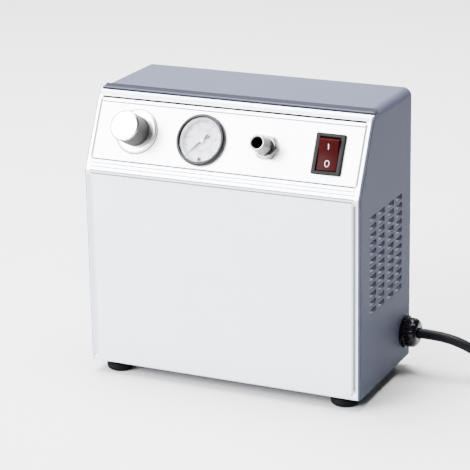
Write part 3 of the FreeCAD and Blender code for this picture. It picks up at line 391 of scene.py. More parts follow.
def lensFinish():
    # clear gauge glass with faint wipe marks
    finish = Finish("gaugeGlass", roughness=0.03, specular=0.6)
    wipe = finish.noise(220, 3, stretch=(1, 4, 1))
    finish.put("Base Color", (0.96, 0.97, 1.0))
    finish.put("Roughness", finish.between(wipe, 0.45, 0.8) * 0.10 + 0.02)
    finish.put("Alpha", finish.between(wipe, 0.4, 0.9) * 0.03 + 0.03)
    return finish.material


finishes = {
    # painted highlight: a lighter copy of the case paint for the triangles under the louvre openings
    "louvreHighlightPaint": paintFinish("louvreHighlightPaint", (0.145, 0.152, 0.195), 0.50, 0.22, fleck=0.3, metallic=0.1,
                               specular=0.05),
    # painted shade: a much darker copy of the case paint for the shell's rolled front edge
    "browShadePaint": paintFinish("shellEdgeShadePaint", (0.009, 0.010, 0.018), 0.42, 0.15, fleck=0.25,
                             metallic=0.3, specular=0.08),
    # painted shade: grey paint for strips laid in the cover's grooves to stand in for the shade in them
    "grooveShadeGrey": paintFinish("grooveShadeGreyPaint", (0.16, 0.165, 0.20), 0.5, 0.1),
    # painted shade: black rubber look for strips that stand in for the shade in gaps and under the lock
    # ring's edge
    "shadeBlack": rubberFinish("gapShadeRubber", (0.006, 0.006, 0.008)),
    "casePaint": paintFinish("caseMetallicPaint", (0.064, 0.070, 0.102), 0.55, 0.22, fleck=0.35,
                             metallic=0.1, specular=0.05),
    # painted shade in the valleys beside the front face, stronger on the right than the left
    "coverSilver": paintFinish("coverSilverPaint", (0.72, 0.74, 0.83), 0.27, 0.10, fleck=0.12, metallic=0.6,
                               wear=0.03, paintValleyShade=True),
    "panelFilm": paintFinish("panelSilverFilm", (0.95, 0.95, 0.96), 0.24, 0.05, fleck=0.05, metallic=0.3,
                             wear=0.02),
    "chrome": chromeFinish("chromePlate", (0.86, 0.87, 0.89)),
    # painted shade: a much darker copy of the chrome for the knob's knurled flank
    "knurlShadeChrome": chromeFinish("knurledChromeShade", (0.040, 0.038, 0.038), 0.36, 0.25),
    # painted shade: a dark copy of the fitting steel for the lining down the outlet's bore
    "boreShadeSteel": chromeFinish("boreShadeSteel", (0.03, 0.03, 0.032), 0.45, 0.15),
    "fittingSteel": chromeFinish("fittingSteel", (0.20, 0.195, 0.20), 0.20, 0.12),
    "satinChrome": chromeFinish("satinChrome", (0.80, 0.81, 0.83), 0.24, 0.10),
    "zinc": turnedFinish("zincPlate", (0.62, 0.63, 0.65)),
    "brass": turnedFinish("brassPart", (0.72, 0.52, 0.22), 0.28),
    "blackGloss": plasticFinish("blackGlossPlastic", (0.0022, 0.0022, 0.0034), 0.24, 0.10, specular=0.22),
    "blackSatin": plasticFinish("blackSatinPlastic", (0.0032, 0.0030, 0.0032), 0.42, 0.20),
    "bezelBlack": paintFinish("bezelBlackPaint", (0.0035, 0.0035, 0.0045), 0.26, 0.10, specular=0.2),
    "rockerRed": plasticFinish("rockerRedPlastic", (0.020, 0.0009, 0.0014), 0.36, 0.12, specular=0.03),
    "markWhite": plasticFinish("whiteMark", (0.86, 0.86, 0.86), 0.45, 0.10),
    "dialFace": paintFinish("dialLilacWhite", (0.62, 0.62, 0.74), 0.5, 0.03, wear=0.02),
    "dialInk": plasticFinish("dialInk", (0.006, 0.006, 0.009), 0.6, 0.05),
    "rubber": rubberFinish("footRubber", (0.0028, 0.0029, 0.0036)),
    "cordSkin": plasticFinish("cordVinyl", (0.0035, 0.0036, 0.0055), 0.42, 0.30, 1500),
    "plugSkin": plasticFinish("plugVinyl", (0.0038, 0.0038, 0.0052), 0.42, 0.30, 1800),
    "cast": castFinish("castAluminium", (0.66, 0.67, 0.68)),
    "laminations": laminationFinish(),
    "windings": windingFinish(),
    "fanPlastic": plasticFinish("fanNylon", (0.05, 0.05, 0.055), 0.5, 0.25),
    "cupSeal": plasticFinish("sealCup", (0.30, 0.25, 0.17), 0.6, 0.25),
    "felt": feltFinish(),
    "hose": hoseFinish(),
    "lens": lensFinish(),
    "floor": paintFinish("paleFloor", studio["floorColour"][:3], 0.6, 0.05, wear=0.005),
}

nodeFinishes = {
    "case_shell": "casePaint", "rear_panel": "casePaint", "base_plate": "casePaint",
    "rear_panel_screws": "zinc", "front_cover": "coverSilver", "control_panel": "panelFilm",
    "foot_front_left": "rubber", "foot_front_right": "rubber", "foot_rear_left": "rubber",
    "foot_rear_right": "rubber", "foot_screws": "zinc", "regulator_knob": "chrome",
    "regulator_spindle": "zinc", "knob_lock_ring": "satinChrome", "regulator_bonnet": "zinc",
    "regulator_seat": "brass", "regulator_spring": "zinc", "regulator_diaphragm": "rubber",
    "regulator_body": "cast", "gauge_case": "bezelBlack", "gauge_bezel": "bezelBlack",
    "gauge_lens": "lens", "gauge_dial": "dialFace", "gauge_needle": "dialInk", "gauge_movement": "brass",
    "outlet_fitting": "chrome", "outlet_nut": "chrome", "switch_housing": "blackSatin",
    "switch_rocker": "rockerRed", "switch_terminals": "brass", "gland_body": "blackGloss",
    "gland_nut": "blackGloss", "gland_locknut": "blackSatin", "power_cord": "cordSkin",
    "power_cord_coil": "cordSkin", "power_plug": "plugSkin", "plug_pins": "brass",
    "motor_stator": "laminations", "motor_windings": "windings", "motor_rotor": "laminations",
    "motor_shaft": "zinc", "motor_bearings": "zinc", "fan_end_bell": "cast", "cooling_fan": "fanPlastic",
    "motor_bolts": "zinc", "crankcase": "cast", "crank_disc": "zinc", "rod_bearing": "zinc",
    "connecting_rod": "cast", "piston_cup": "cupSeal", "cylinder_liner": "cast", "valve_plate": "cast",
    "reed_valves": "zinc", "cylinder_head": "cast", "head_screws": "zinc", "intake_filter": "felt",
    "pressure_hose": "hose", "panel_air_lines": "hose", "pump_mounts": "rubber",
    "internal_wiring": "cordSkin",
}
for name, finish in nodeFinishes.items():
    nodes[name].data.materials.clear()
    nodes[name].data.materials.append(finishes[finish])
print("finishes made:", len(finishes))


def clearSelection():
    active = bpy.context.object
    if active and active.mode != "OBJECT":
        bpy.ops.object.mode_set(mode="OBJECT")
    bpy.ops.object.select_all(action="DESELECT")


def choose(piece):
    clearSelection()
    piece.select_set(True)
    bpy.context.view_layer.objects.active = piece


def settle(piece):
    # puts the piece's place into its mesh
    choose(piece)
    bpy.ops.object.transform_apply(location=True, rotation=True, scale=True)
    return piece


def pick(piece, kind, test):
    # selects faces, edges or vertices by their place, and leaves edit mode open
    choose(piece)
    bpy.ops.object.mode_set(mode="EDIT")
    bpy.ops.mesh.select_mode(type=kind)
    bpy.ops.mesh.select_all(action="DESELECT")
    bpy.ops.object.mode_set(mode="OBJECT")
    mesh = piece.data
    if kind == "FACE":
        for face in mesh.polygons:
            face.select = bool(test(face.center, face.normal))
    elif kind == "EDGE":
        for edge in mesh.edges:
            ends = [mesh.vertices[v].co for v in edge.vertices]
            edge.select = bool(test(ends[0], ends[1]))
    else:
        for vertex in mesh.vertices:
            vertex.select = bool(test(vertex.co))
    bpy.ops.object.mode_set(mode="EDIT")


def drawLine(name, points):
    # one vertex of a plane, extruded from point to point; edit mode stays open
    clearSelection()
    bpy.ops.mesh.primitive_plane_add(size=0.001, location=points[0])
    line = bpy.context.object
    line.name = name
    line.data.name = name
    bpy.ops.object.transform_apply(location=True, rotation=True, scale=True)
    bpy.ops.object.mode_set(mode="EDIT")
    bpy.ops.mesh.select_mode(type="VERT")
    bpy.ops.mesh.select_all(action="SELECT")
    bpy.ops.mesh.merge(type="CENTER")
    for before, after in zip(points, points[1:]):
        step = Vector(after) - Vector(before)
        bpy.ops.mesh.extrude_region_move(TRANSFORM_OT_translate={"value": step})
    bpy.ops.mesh.select_all(action="SELECT")
    return line


def tidyMesh(piece):
    choose(piece)
    bpy.ops.object.mode_set(mode="EDIT")
    bpy.ops.mesh.select_all(action="SELECT")
    bpy.ops.mesh.remove_doubles(threshold=0.000002)
    bpy.ops.mesh.normals_make_consistent(inside=False)
    bpy.ops.object.mode_set(mode="OBJECT")
    return piece


def turnLine(name, outline, steps=64):
    # turns an outline of (radius, height) round its axis, as on a lathe
    points = [(r, 0, h) for r, h in outline]
    piece = drawLine(name, points)
    bpy.ops.mesh.spin(steps=steps, angle=math.tau, center=(0, 0, 0), axis=(0, 0, 1),
                      use_auto_merge=True)
    return tidyMesh(piece)


def turnOutline(name, outline, steps):
    # the same for an outline given in millimetres
    return turnLine(name, [(r * mm, h * mm) for r, h in outline], steps)


def pushOutline(name, points, way):
    # a flat outline, filled and pushed along way
    piece = drawLine(name, points)
    bpy.ops.mesh.edge_face_add()
    bpy.ops.mesh.extrude_region_move(TRANSFORM_OT_translate={"value": way})
    return tidyMesh(piece)


def useModifier(piece, kind, **settings):
    choose(piece)
    modifier = piece.modifiers.new(kind.lower(), kind)
    for key, value in settings.items():
        setattr(modifier, key, value)
    bpy.ops.object.modifier_apply(modifier=modifier.name)
    return piece


def soften(piece, width, segments=3, angle=40):
    return useModifier(piece, "BEVEL", width=width, segments=segments, limit_method="ANGLE",
                       angle_limit=math.radians(angle), harden_normals=False)


def carve(piece, *cutters):
    for cutter in cutters:
        useModifier(piece, "BOOLEAN", operation="DIFFERENCE", solver="EXACT", object=cutter)
        bpy.data.objects.remove(cutter)
    return piece


def joined(name, parts):
    clearSelection()
    for part in parts:
        part.select_set(True)
    bpy.context.view_layer.objects.active = parts[0]
    if len(parts) > 1:
        bpy.ops.object.join()
    parts[0].name = name
    parts[0].data.name = name
    return parts[0]


def copyOf(piece, matrix):
    twin = piece.copy()
    twin.data = piece.data.copy()
    bpy.context.collection.objects.link(twin)
    twin.data.transform(matrix)
    if matrix.determinant() < 0:
        twin.data.flip_normals()
    return twin


def slab(name, low, high):
    clearSelection()
    middle = (Vector(low) + Vector(high)) / 2
    size = Vector(high) - Vector(low)
    bpy.ops.mesh.primitive_cube_add(size=1, location=middle, scale=size)
    box = bpy.context.object
    box.name = name
    return settle(box)


def rod(name, radius, start, end, steps=48):
    start, end = Vector(start), Vector(end)
    clearSelection()
    bpy.ops.mesh.primitive_cylinder_add(vertices=steps, radius=radius, depth=(end - start).length,
                                        location=(start + end) / 2,
                                        rotation=(end - start).to_track_quat("Z", "Y").to_euler())
    bpy.context.object.name = name
    return settle(bpy.context.object)


def panelSpot(x, t, off=0.0):
    along = caseShape["panelFoot"] + t
    return Vector((x, frontY + along * leanSin - off * leanCos,
                   caseShape["kneeZ"] + along * leanCos + off * leanSin))


def leanBack(piece, x=0.0, t=0.0):
    # from the panel's own axes to its place on the sloping panel
    piece.rotation_euler = (math.radians(90 - caseShape["lean"]), 0, 0)
    piece.location = panelSpot(x, t)
    return settle(piece)


def finishPiece(piece, finish, body, replaced=None, smooth=35, flatFirst=False):
    if finish:
        piece.data.materials.clear()
        piece.data.materials.append(finishes[finish])
    choose(piece)
    bpy.ops.object.shade_smooth_by_angle(angle=math.radians(smooth))
    if flatFirst:
        useModifier(piece, "WEIGHTED_NORMAL", keep_sharp=True, mode="FACE_AREA", weight=100)
    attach(piece, body)
    if replaced:
        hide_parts(replaced)
    print("made", piece.name, len(piece.data.polygons))
    return piece


cordShape = {
    "radius": 0.00425,
    "length": 1.80,
    "coilX": 0.262, "coilY": 0.075,
    "coilOuter": 0.0600, "coilInner": 0.0386,
    "turns": 5, "pointsEachTurn": 14,
    "startAngle": 100.5, "lastTurn": 2.5,
    "lead": [(127, 101, 34), (146, 101.2, 34.3), (165, 100.7, 32.4), (183, 102.6, 24.6),
             (199, 110.0, 13.4), (217, 119.3, 5.4), (234, 128.4, 4.3)],
    "tail": [(253.6, 134.4, 12.75), (267.7, 134.1, 15.6), (281, 129.5, 19.4), (292.3, 121.1, 22.8),
             (300.3, 109.5, 25.9), (304.5, 96.1, 28.3), (304.9, 85.0, 29.0)],
    "glandMouth": (0.1336, 0.101, 0.034),
}


def coilPoints():
    # two layers, wound inwards on the table and back outwards on top
    count = cordShape["turns"] * cordShape["pointsEachTurn"]
    radius = cordShape["radius"]
    points = []
    for k in range(count + 1):
        share = k / count
        angle = math.radians(cordShape["startAngle"]
                             - (cordShape["lastTurn"] + 360 * cordShape["turns"]) * share)
        inward = 1 - abs(1 - 2 * share)
        reach = cordShape["coilOuter"] - (cordShape["coilOuter"] - cordShape["coilInner"]) * inward
        reach *= 1.018
        climb = min(1.0, max(0.0, (k - count / 2 + 3) / 6))
        points.append((cordShape["coilX"] + reach * math.cos(angle),
                       cordShape["coilY"] + reach * math.sin(angle),
                       radius + 2 * radius * climb))
    return points


def layCord():
    lead = [tuple(v / 1000 for v in p) for p in cordShape["lead"]]
    tail = [tuple(v / 1000 for v in p) for p in cordShape["tail"]]
    points = lead + coilPoints()[:-1] + tail
    line = bpy.data.curves.new("mainsCord", "CURVE")
    line.dimensions = "3D"
    line.bevel_depth = cordShape["radius"]
    line.bevel_resolution = 6
    line.resolution_u = 8
    line.use_fill_caps = True
    spline = line.splines.new("NURBS")
    spline.points.add(len(points) - 1)
    for point, (x, y, z) in zip(spline.points, points):
        point.co = (x, y + frontY, z, 1)
    spline.order_u = 3
    spline.use_endpoint_u = True
    cord = bpy.data.objects.new("mainsCord", line)
    bpy.context.collection.objects.link(cord)
    line.materials.append(finishes["cordSkin"])
    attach(cord, "housing")
    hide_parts("power_cord", "power_cord_coil")
    return cord


mm = 0.001

coverShape = {
    "endX": 118.75, "endRound": 2.0,
    "wall": 3.0, "footRound": 1.8,
    "bed": (-1.1, 51.1), "bedDepth": 1.6,           # where the control panel's plate lies
    "ridges": ((-3.8, 0.35, 0.6), (-6.9, 0.35, 0.6), (-10.2, 0.45, 0.9)),   # up the slope, half width, depth
    "lineZ": (172.75, 173.95), "lineDepth": 0.9,    # thin groove over the big front face
    "valleyX": 115.5, "valleyRound": 2.9, "valleyOut": 1.5,
    "valleyZ": (15.6, 170.9),
    "seamDepth": 0.75, "panelLine": (46.8, 47.9),
    "browEnd": 30.0, "browGap": 38.0,
}
kneeCentreZ = caseShape["kneeZ"] / mm - 5.0 * math.tan(math.radians(caseShape["lean"] / 2))
browTurn = 90 - caseShape["lean"]


def kneeSpot(angle, depth):
    turn = math.radians(angle)
    return (5.0 - (5.0 - depth) * math.cos(turn), kneeCentreZ + (5.0 - depth) * math.sin(turn))


def browSpot(angle, depth):
    turn = math.radians(angle)
    reach = 15.0 - depth
    return (browY / mm - reach * math.sin(turn), browZ / mm + reach * math.cos(turn))


def acrossCase(name, spots, endX):
    # a section in depth and height, pushed from one side of the case to the other
    points = [(-endX * mm, frontY + y * mm, z * mm) for y, z in spots]
    return pushOutline(name, points, (2 * endX * mm, 0, 0))


def panelSlab(name, x0, x1, t0, t1, off0, off1):
    # a block in the sloping panel's own axes, in millimetres
    block = slab(name, (x0 * mm, t0 * mm, off0 * mm), (x1 * mm, t1 * mm, off1 * mm))
    return leanBack(block)


def capsule(name, radius, start, end):
    # a rod with round ends, for sinking a groove that fades out
    bar = rod(name, radius * mm, [v * mm for v in start], [v * mm for v in end], 32)
    ends = [bar]
    for spot in (start, end):
        clearSelection()
        bpy.ops.mesh.primitive_uv_sphere_add(segments=32, ring_count=16, radius=radius * mm,
                                             location=[v * mm for v in spot])
        ends.append(settle(bpy.context.object))
    for ball in ends[1:]:
        useModifier(bar, "BOOLEAN", operation="UNION", solver="EXACT", object=ball)
        bpy.data.objects.remove(ball)
    return bar


def makeFrontCover():
    shape = coverShape
    wall, foot, curve = shape["wall"], caseShape["bottom"] / mm, shape["footRound"]
    spots = [(wall, foot)]
    for k in range(7):
        turn = math.radians(15 * k)
        spots.append((curve - curve * math.sin(turn), foot + curve - curve * math.cos(turn)))
    spots += [kneeSpot(angle, 0) for angle in (0, 5, 10, 15, 20, caseShape["lean"])]
    angles = [browTurn - k * (browTurn - shape["browEnd"]) / 9 for k in range(10)]
    spots += [browSpot(angle, 0) for angle in angles]
    spots += [browSpot(angle, wall) for angle in reversed(angles)]
    spots += [kneeSpot(caseShape["lean"], wall), kneeSpot(0, wall)]
    cover = acrossCase("frontCover", spots, shape["endX"])

    def outerEnd(a, b):
        if abs(a.x - b.x) > 0.001 or abs(abs(a.x) - shape["endX"] * mm) > 0.0001:
            return False
        middle = (a + b) / 2
        y, z = (middle.y - frontY) / mm, middle.z / mm
        reach = math.hypot(y - browY / mm, z - browZ / mm)
        if z > browSpot(browTurn, 0)[1] - 0.1:
            return reach > 14.5
        if z > kneeSpot(caseShape["lean"], 0)[1] - 0.1:
            return y < (z - caseShape["kneeZ"] / mm) * leanSin / leanCos + 0.5
        return y < 1.9 and z > foot + 0.001

    pick(cover, "EDGE", outerEnd)
    bpy.ops.mesh.bevel(offset=shape["endRound"] * mm, segments=6, affect="EDGES", clamp_overlap=True)
    tidyMesh(cover)
    x, out, reach = shape["valleyX"], frontY / mm - shape["valleyOut"], shape["valleyRound"]
    low, high = shape["valleyZ"]
    cutters = [capsule("valley", reach, (side * x, out, low), (side * x, out, high)) for side in (-1, 1)]
    low, high = shape["lineZ"]
    cutters.append(slab("line", (-0.1142, frontY - 0.002, low * mm),
                        (0.1142, frontY + shape["lineDepth"] * mm, high * mm)))
    for t, half, depth in shape["ridges"]:
        cutters.append(panelSlab("ridge", -115.2, 115.2, t - half, t + half, -depth, 4))
    cutters.append(panelSlab("bed", -115.3, 115.3, shape["bed"][0], shape["bed"][1],
                             -shape["bedDepth"], 4))
    for x0, x1 in ((-116.5, -115.25), (115.25, 116.5)):
        cutters.append(panelSlab("sideSeam", x0, x1, 0.6, 49.4, -shape["seamDepth"], 4))
    for first, last in ((57.5, 66.0), (20.0, shape["browGap"])):
        steps = [first + k * (last - first) / 4 for k in range(5)]
        band = [browSpot(angle, -1.5) for angle in steps]
        band += [browSpot(angle, 1.5) for angle in reversed(steps)]
        cutters.append(acrossCase("browCut", band, 115.3 if first > 40 else 121))
    for name, radius in (("regulator", 11.5), ("gauge", 19.8), ("outlet", 7.0)):
        spot = panelParts[name]
        cutters.append(leanBack(rod("hole", radius * mm, (0, 0, -0.012), (0, 0, 0.004)),
                                spot["x"] * mm, spot["t"] * mm))
    spot = panelParts["switch"]
    cutters.append(leanBack(slab("switchHole", (-0.011, -0.014, -0.012), (0.011, 0.014, 0.004)),
                            spot["x"] * mm, spot["t"] * mm))
    carve(cover, *cutters)
    soften(cover, 0.00028, 2, 38)
    finishPiece(cover, "coverSilver", "housing", "front_cover", 32, True)


def makeSideSeals():
    # edging in the gap between the cover and the shell, in the case paint
    angles = [browTurn - k * (browTurn - coverShape["browGap"]) / 6 for k in range(7)]
    band = []
    for depth in (0.9, 2.9):
        line = [(depth, caseShape["bottom"] / mm + 0.6)]
        line += [kneeSpot(angle, depth) for angle in (0, 9, 18, caseShape["lean"])]
        line += [browSpot(angle, depth) for angle in angles]
        band += line if depth < 1 else list(reversed(line))
    seals = []
    for side in (-1, 1):
        x0, x1 = sorted((side * (coverShape["endX"] - 0.3), side * 119.92))
        points = [(x0 * mm, frontY + y * mm, z * mm) for y, z in band]
        seals.append(pushOutline("sideSeal", points, ((x1 - x0) * mm, 0, 0)))
    seal = joined("sideSeals", seals)
    soften(seal, 0.0003, 2, 50)
    finishPiece(seal, "casePaint", "housing", None, 40)


def makeShellBrow():
    # the shell's rolled front edge, which laps over the cover; its much darker paint is painted shade
    spots = [(browY / mm + 1.2, caseShape["top"] / mm), browSpot(0, 0.05), browSpot(2.0, 0.35)]
    spots += [browSpot(angle, 0.55) for angle in (5, 9, 13, 17)]
    spots += [browSpot(19.5, 0.4), browSpot(21.5, 0.1), browSpot(23.5, 0.0), browSpot(25.5, 0.0),
              browSpot(27.5, 0.15), browSpot(28.8, 0.6), browSpot(29.2, 1.3), browSpot(29.0, 3.2),
              browSpot(14, 3.0), browSpot(0, 2.6), (browY / mm + 1.2, caseShape["top"] / mm - 2.6)]
    brow = acrossCase("shellBrow", spots, 118.6)
    finishPiece(brow, "browShadePaint", "housing", None, 40)
    # the lip's turned edge catches the light
    steps = [22.3, 23.0, 24.0, 25.2, 26.4, 27.2]
    lift = [0.0, -0.22, -0.32, -0.32, -0.2, 0.1]
    edge = [browSpot(angle, up) for angle, up in zip(steps, lift)]
    edge += [browSpot(27.0, 0.9), browSpot(22.5, 0.9)]
    lip = acrossCase("shellLip", edge, 118.6)
    finishPiece(lip, "casePaint", "housing", None, 40)
    # painted shade: a black strip down in the gap between the shell's edge and the cover stands in for the
    # shade in the gap
    steps = [27.0 + 1.5 * k for k in range(8)]
    strip = [browSpot(angle, 2.2) for angle in steps] + [browSpot(angle, 2.9) for angle in reversed(steps)]
    seal = acrossCase("browGapShade", strip, 118.0)
    finishPiece(seal, "shadeBlack", "housing", None, 40)
    # painted shade: black strips along the control panel's lower and upper edges stand in for the shadow gaps
    # there
    edgeShadeStrips = []
    for t0, t1 in ((-1.05, 0.0), (50.4, 52.1)):
        edgeShadeStrips.append(panelSlab("panelEdgeShade", -115.2, 115.2, t0, t1, -1.5, -0.55))
    # painted shade: grey strips laid down in the grooves and side seams stand in for the shade in them
    low, high = coverShape["lineZ"]
    line = slab("grooveShadeLine", (-0.1141, frontY + 0.0005, (low - 0.05) * mm),
                (0.1141, frontY + 0.0012, (high + 0.05) * mm))
    ridges = [line]
    for t, half, depth in coverShape["ridges"]:
        ridges.append(panelSlab("ridgeShadeLine", -115.1, 115.1, t - half - 0.05, t + half + 0.05,
                                -depth - 0.4, -depth * 0.75))
    low, high = coverShape["panelLine"]
    ridges.append(panelSlab("panelLine", -114.8, 114.8, low - 0.05, high + 0.05, -0.8, -0.35))
    for side in (-1, 1):
        x0, x1 = sorted((side * 115.2, side * 116.55))
        ridges.append(panelSlab("sideShadeLine", x0, x1, 0.4, 49.6, -1.2, -0.5))
    lines = joined("ridgeShadeLines", ridges)
    soften(lines, 0.0001, 1)
    finishPiece(lines, "grooveShadeGrey", "housing", None, 40)
    edgeShadeStrip = joined("panelEdgeShades", edgeShadeStrips)
    soften(edgeShadeStrip, 0.0001, 1)
    finishPiece(edgeShadeStrip, "shadeBlack", "housing", None, 40)


panelParts = {
    "regulator": {"x": -79.0, "t": 24.8},
    "gauge": {"x": -20.6, "t": 23.4},
    "outlet": {"x": 36.5, "t": 23.0},
    "switch": {"x": 88.8, "t": 23.1},
}


def toPanel(piece, part):
    # sets a piece made at the origin on its own place on the control panel
    spot = panelParts[part]
    return leanBack(piece, spot["x"] * mm, spot["t"] * mm)


def makeControlPanel():
    # plate with a bevelled top edge and a groove across it, cut out for the four fittings
    plate = slab("controlPanel", (-0.1149, 0, -0.0016), (0.1149, 0.0504, 0))
    pick(plate, "EDGE", lambda a, b: a.z > -0.0001 and b.z > -0.0001)
    bpy.ops.mesh.bevel(offset=0.00035, segments=3, affect="EDGES")
    bpy.ops.object.mode_set(mode="OBJECT")
    holes = []
    for name, radius in (("regulator", 11.1), ("gauge", 19.4), ("outlet", 6.7)):
        spot = panelParts[name]
        x, t = spot["x"] * mm, spot["t"] * mm
        holes.append(rod(name + "Cut", radius * mm, (x, t, -0.005), (x, t, 0.005), 64))
    spot = panelParts["switch"]
    x, t = spot["x"] * mm, spot["t"] * mm
    holes.append(slab("switchCut", (x - 0.0109, t - 0.0139, -0.005), (x + 0.0109, t + 0.0139, 0.005)))
    low, high = coverShape["panelLine"]
    holes.append(slab("lineCut", (-0.116, low * mm, -0.0005), (0.116, high * mm, 0.002)))
    carve(plate, *holes)
    leanBack(plate)
    finishPiece(plate, "panelFilm", "housing", "control_panel", 30, True)


makeFrontCover()
makeSideSeals()
makeShellBrow()
makeControlPanel()
print("front cover and control panel made")


knobShape = {
    "radius": 12.6, "face": 24.0, "foot": 3.0, "bore": 11.4,
    "knurls": 48, "knurlShare": 0.955,
    "ringOuter": 18.2, "ringInner": 11.1, "ringHeight": 2.2,
}


def makeKnob():
    radius, face, foot = knobShape["radius"], knobShape["face"], knobShape["foot"]
    bore = knobShape["bore"]
    capFoot = face - 1.6
    cap = [(0, face - 0.45), (0.5, face - 0.42), (0.85, face - 0.1), (1.1, face - 0.02), (4, face),
           (9.6, face), (11.0, face - 0.05), (11.6, face - 0.2), (12.0, face - 0.5), (12.25, face - 1.0),
           (12.25, capFoot), (0, capFoot), (0, face - 0.45)]
    knobCap = turnLine("knobCap", [(r * mm, h * mm) for r, h in cap], 96)
    flank = [(bore, capFoot), (12.3, capFoot), (12.3, face - 1.0), (12.5, face - 0.95), (radius, face - 1.2),
             (radius, foot + 2.0), (radius - 0.2, foot + 1.5), (radius - 0.25, foot + 0.9),
             (radius - 0.1, foot + 0.6), (radius - 0.4, foot), (bore, foot), (bore, capFoot)]
    steps = 2 * knobShape["knurls"]
    knob = turnLine("regulatorKnob", [(r * mm, h * mm) for r, h in flank], steps)
    top, bottom = (capFoot - 0.4) * mm, (foot + 1.8) * mm

    def valley(spot):
        step = round(math.atan2(spot.y, spot.x) / math.tau * steps)
        return math.hypot(spot.x, spot.y) > (radius - 0.05) * mm and bottom < spot.z < top and step % 2

    pick(knob, "VERT", valley)
    share = knobShape["knurlShare"]
    bpy.ops.transform.resize(value=(share, share, 1), center_override=(0, 0, 0))
    bpy.ops.object.mode_set(mode="OBJECT")
    spot = panelParts["regulator"]
    leanBack(knob, spot["x"] * mm, spot["t"] * mm)
    # painted shade: the knurled flank takes the much darker copy of the chrome
    finishPiece(knob, "knurlShadeChrome", "knob", "regulator_knob", 28)
    leanBack(knobCap, spot["x"] * mm, spot["t"] * mm)
    finishPiece(knobCap, "chrome", "knob", None, 28)


def makeLockRing():
    outer, inner, height = knobShape["ringOuter"], knobShape["ringInner"], knobShape["ringHeight"]
    outline = [(inner, 0), (inner, height - 0.3), (inner + 0.3, height)]
    for r in (13.2, 14.9):
        outline += [(r - 0.14, height), (r, height - 0.12), (r + 0.14, height)]
    outline += [(outer - 1.5, height), (outer - 0.8, height - 0.25), (outer - 0.25, height - 0.8),
                (outer, height - 1.4), (outer, 0), (inner, 0)]
    ring = turnOutline("knobLockRing", outline, 96)
    toPanel(ring, "regulator")
    finishPiece(ring, "satinChrome", "housing", "knob_lock_ring", 30)
    # painted shadow: a thin black ring under the lock ring's edge stands in for its shadow line on the panel
    outline = [(outer - 2, 0.02), (outer + 0.45, 0.02), (outer + 0.45, 0.45), (outer + 0.2, 0.6),
               (outer - 2, 0.6), (outer - 2, 0.02)]
    washer = turnOutline("ringShadowLine", outline, 96)
    toPanel(washer, "regulator")
    finishPiece(washer, "shadeBlack", "housing", None, 30)


makeKnob()
makeLockRing()


gaugeShape = {
    "dialTop": -2.2,
    "zeroAngle": 225.0, "sweep": 270.0,
    "divisions": 10, "smallSteps": 5,
    "numberReach": 11.1, "numberSize": 4.0,
}


def makeGaugeBezel():
    outline = [(19.5, 1.2), (21.1, 1.2), (21.1, 2.7), (20.95, 3.3), (20.5, 3.85), (19.9, 4.15),
               (19.2, 4.2), (18.6, 4.05), (18.2, 3.75), (18.0, 3.4), (19.5, 3.35), (19.5, 1.2)]
    bezel = turnOutline("gaugeBezel", outline, 96)
    toPanel(bezel, "gauge")
    finishPiece(bezel, "bezelBlack", "housing", "gauge_bezel", 40)
    outline = [(18.05, 2.0), (17.7, 1.6), (16.75, -1.6), (16.7, -2.15), (18.1, -2.15), (18.2, 2.0),
               (18.05, 2.0)]
    collar = turnOutline("gaugeInnerRing", outline, 96)
    toPanel(collar, "gauge")
    finishPiece(collar, "satinChrome", "housing", None, 40)
    outline = [(0, 3.28), (6, 3.24), (12, 3.12), (17, 2.95), (19.3, 2.85), (19.4, 2.7), (19.4, 2.15),
               (0, 2.15)]
    lens = turnOutline("gaugeLens", outline, 96)
    toPanel(lens, "gauge")
    finishPiece(lens, "lens", "housing", "gauge_lens", 30)


def scaleMark(angle, start, end, width, top):
    mark = slab("mark", (start * mm, -width / 2 * mm, top * mm),
                (end * mm, width / 2 * mm, (top + 0.06) * mm))
    mark.rotation_euler = (0, 0, math.radians(angle))
    return settle(mark)


def scaleArc(name, reach, width, top, start, sweep, steps=60):
    # a thin flat arc printed on the dial
    turn = math.radians(start)
    section = [(reach, top), (reach + width, top), (reach + width, top + 0.06), (reach, top + 0.06),
               (reach, top)]
    points = [(r * mm * math.cos(turn), r * mm * math.sin(turn), h * mm) for r, h in section]
    arc = drawLine(name, points)
    bpy.ops.mesh.remove_doubles(threshold=0.000001)
    bpy.ops.mesh.spin(steps=steps, angle=math.radians(sweep), center=(0, 0, 0), axis=(0, 0, -1))
    bpy.ops.mesh.select_all(action="SELECT")
    bpy.ops.mesh.fill_holes(sides=0)
    return tidyMesh(arc)


def dialNumber(text, angle, reach, size, top):
    turn = math.radians(angle)
    clearSelection()
    bpy.ops.object.text_add(location=(reach * mm * math.cos(turn), reach * mm * math.sin(turn), top * mm))
    label = bpy.context.object
    label.data.body = text
    label.data.size = size * mm
    label.data.align_x = "CENTER"
    label.data.align_y = "CENTER"
    label.data.extrude = 0.00003
    bpy.ops.object.convert(target="MESH")
    return settle(bpy.context.object)


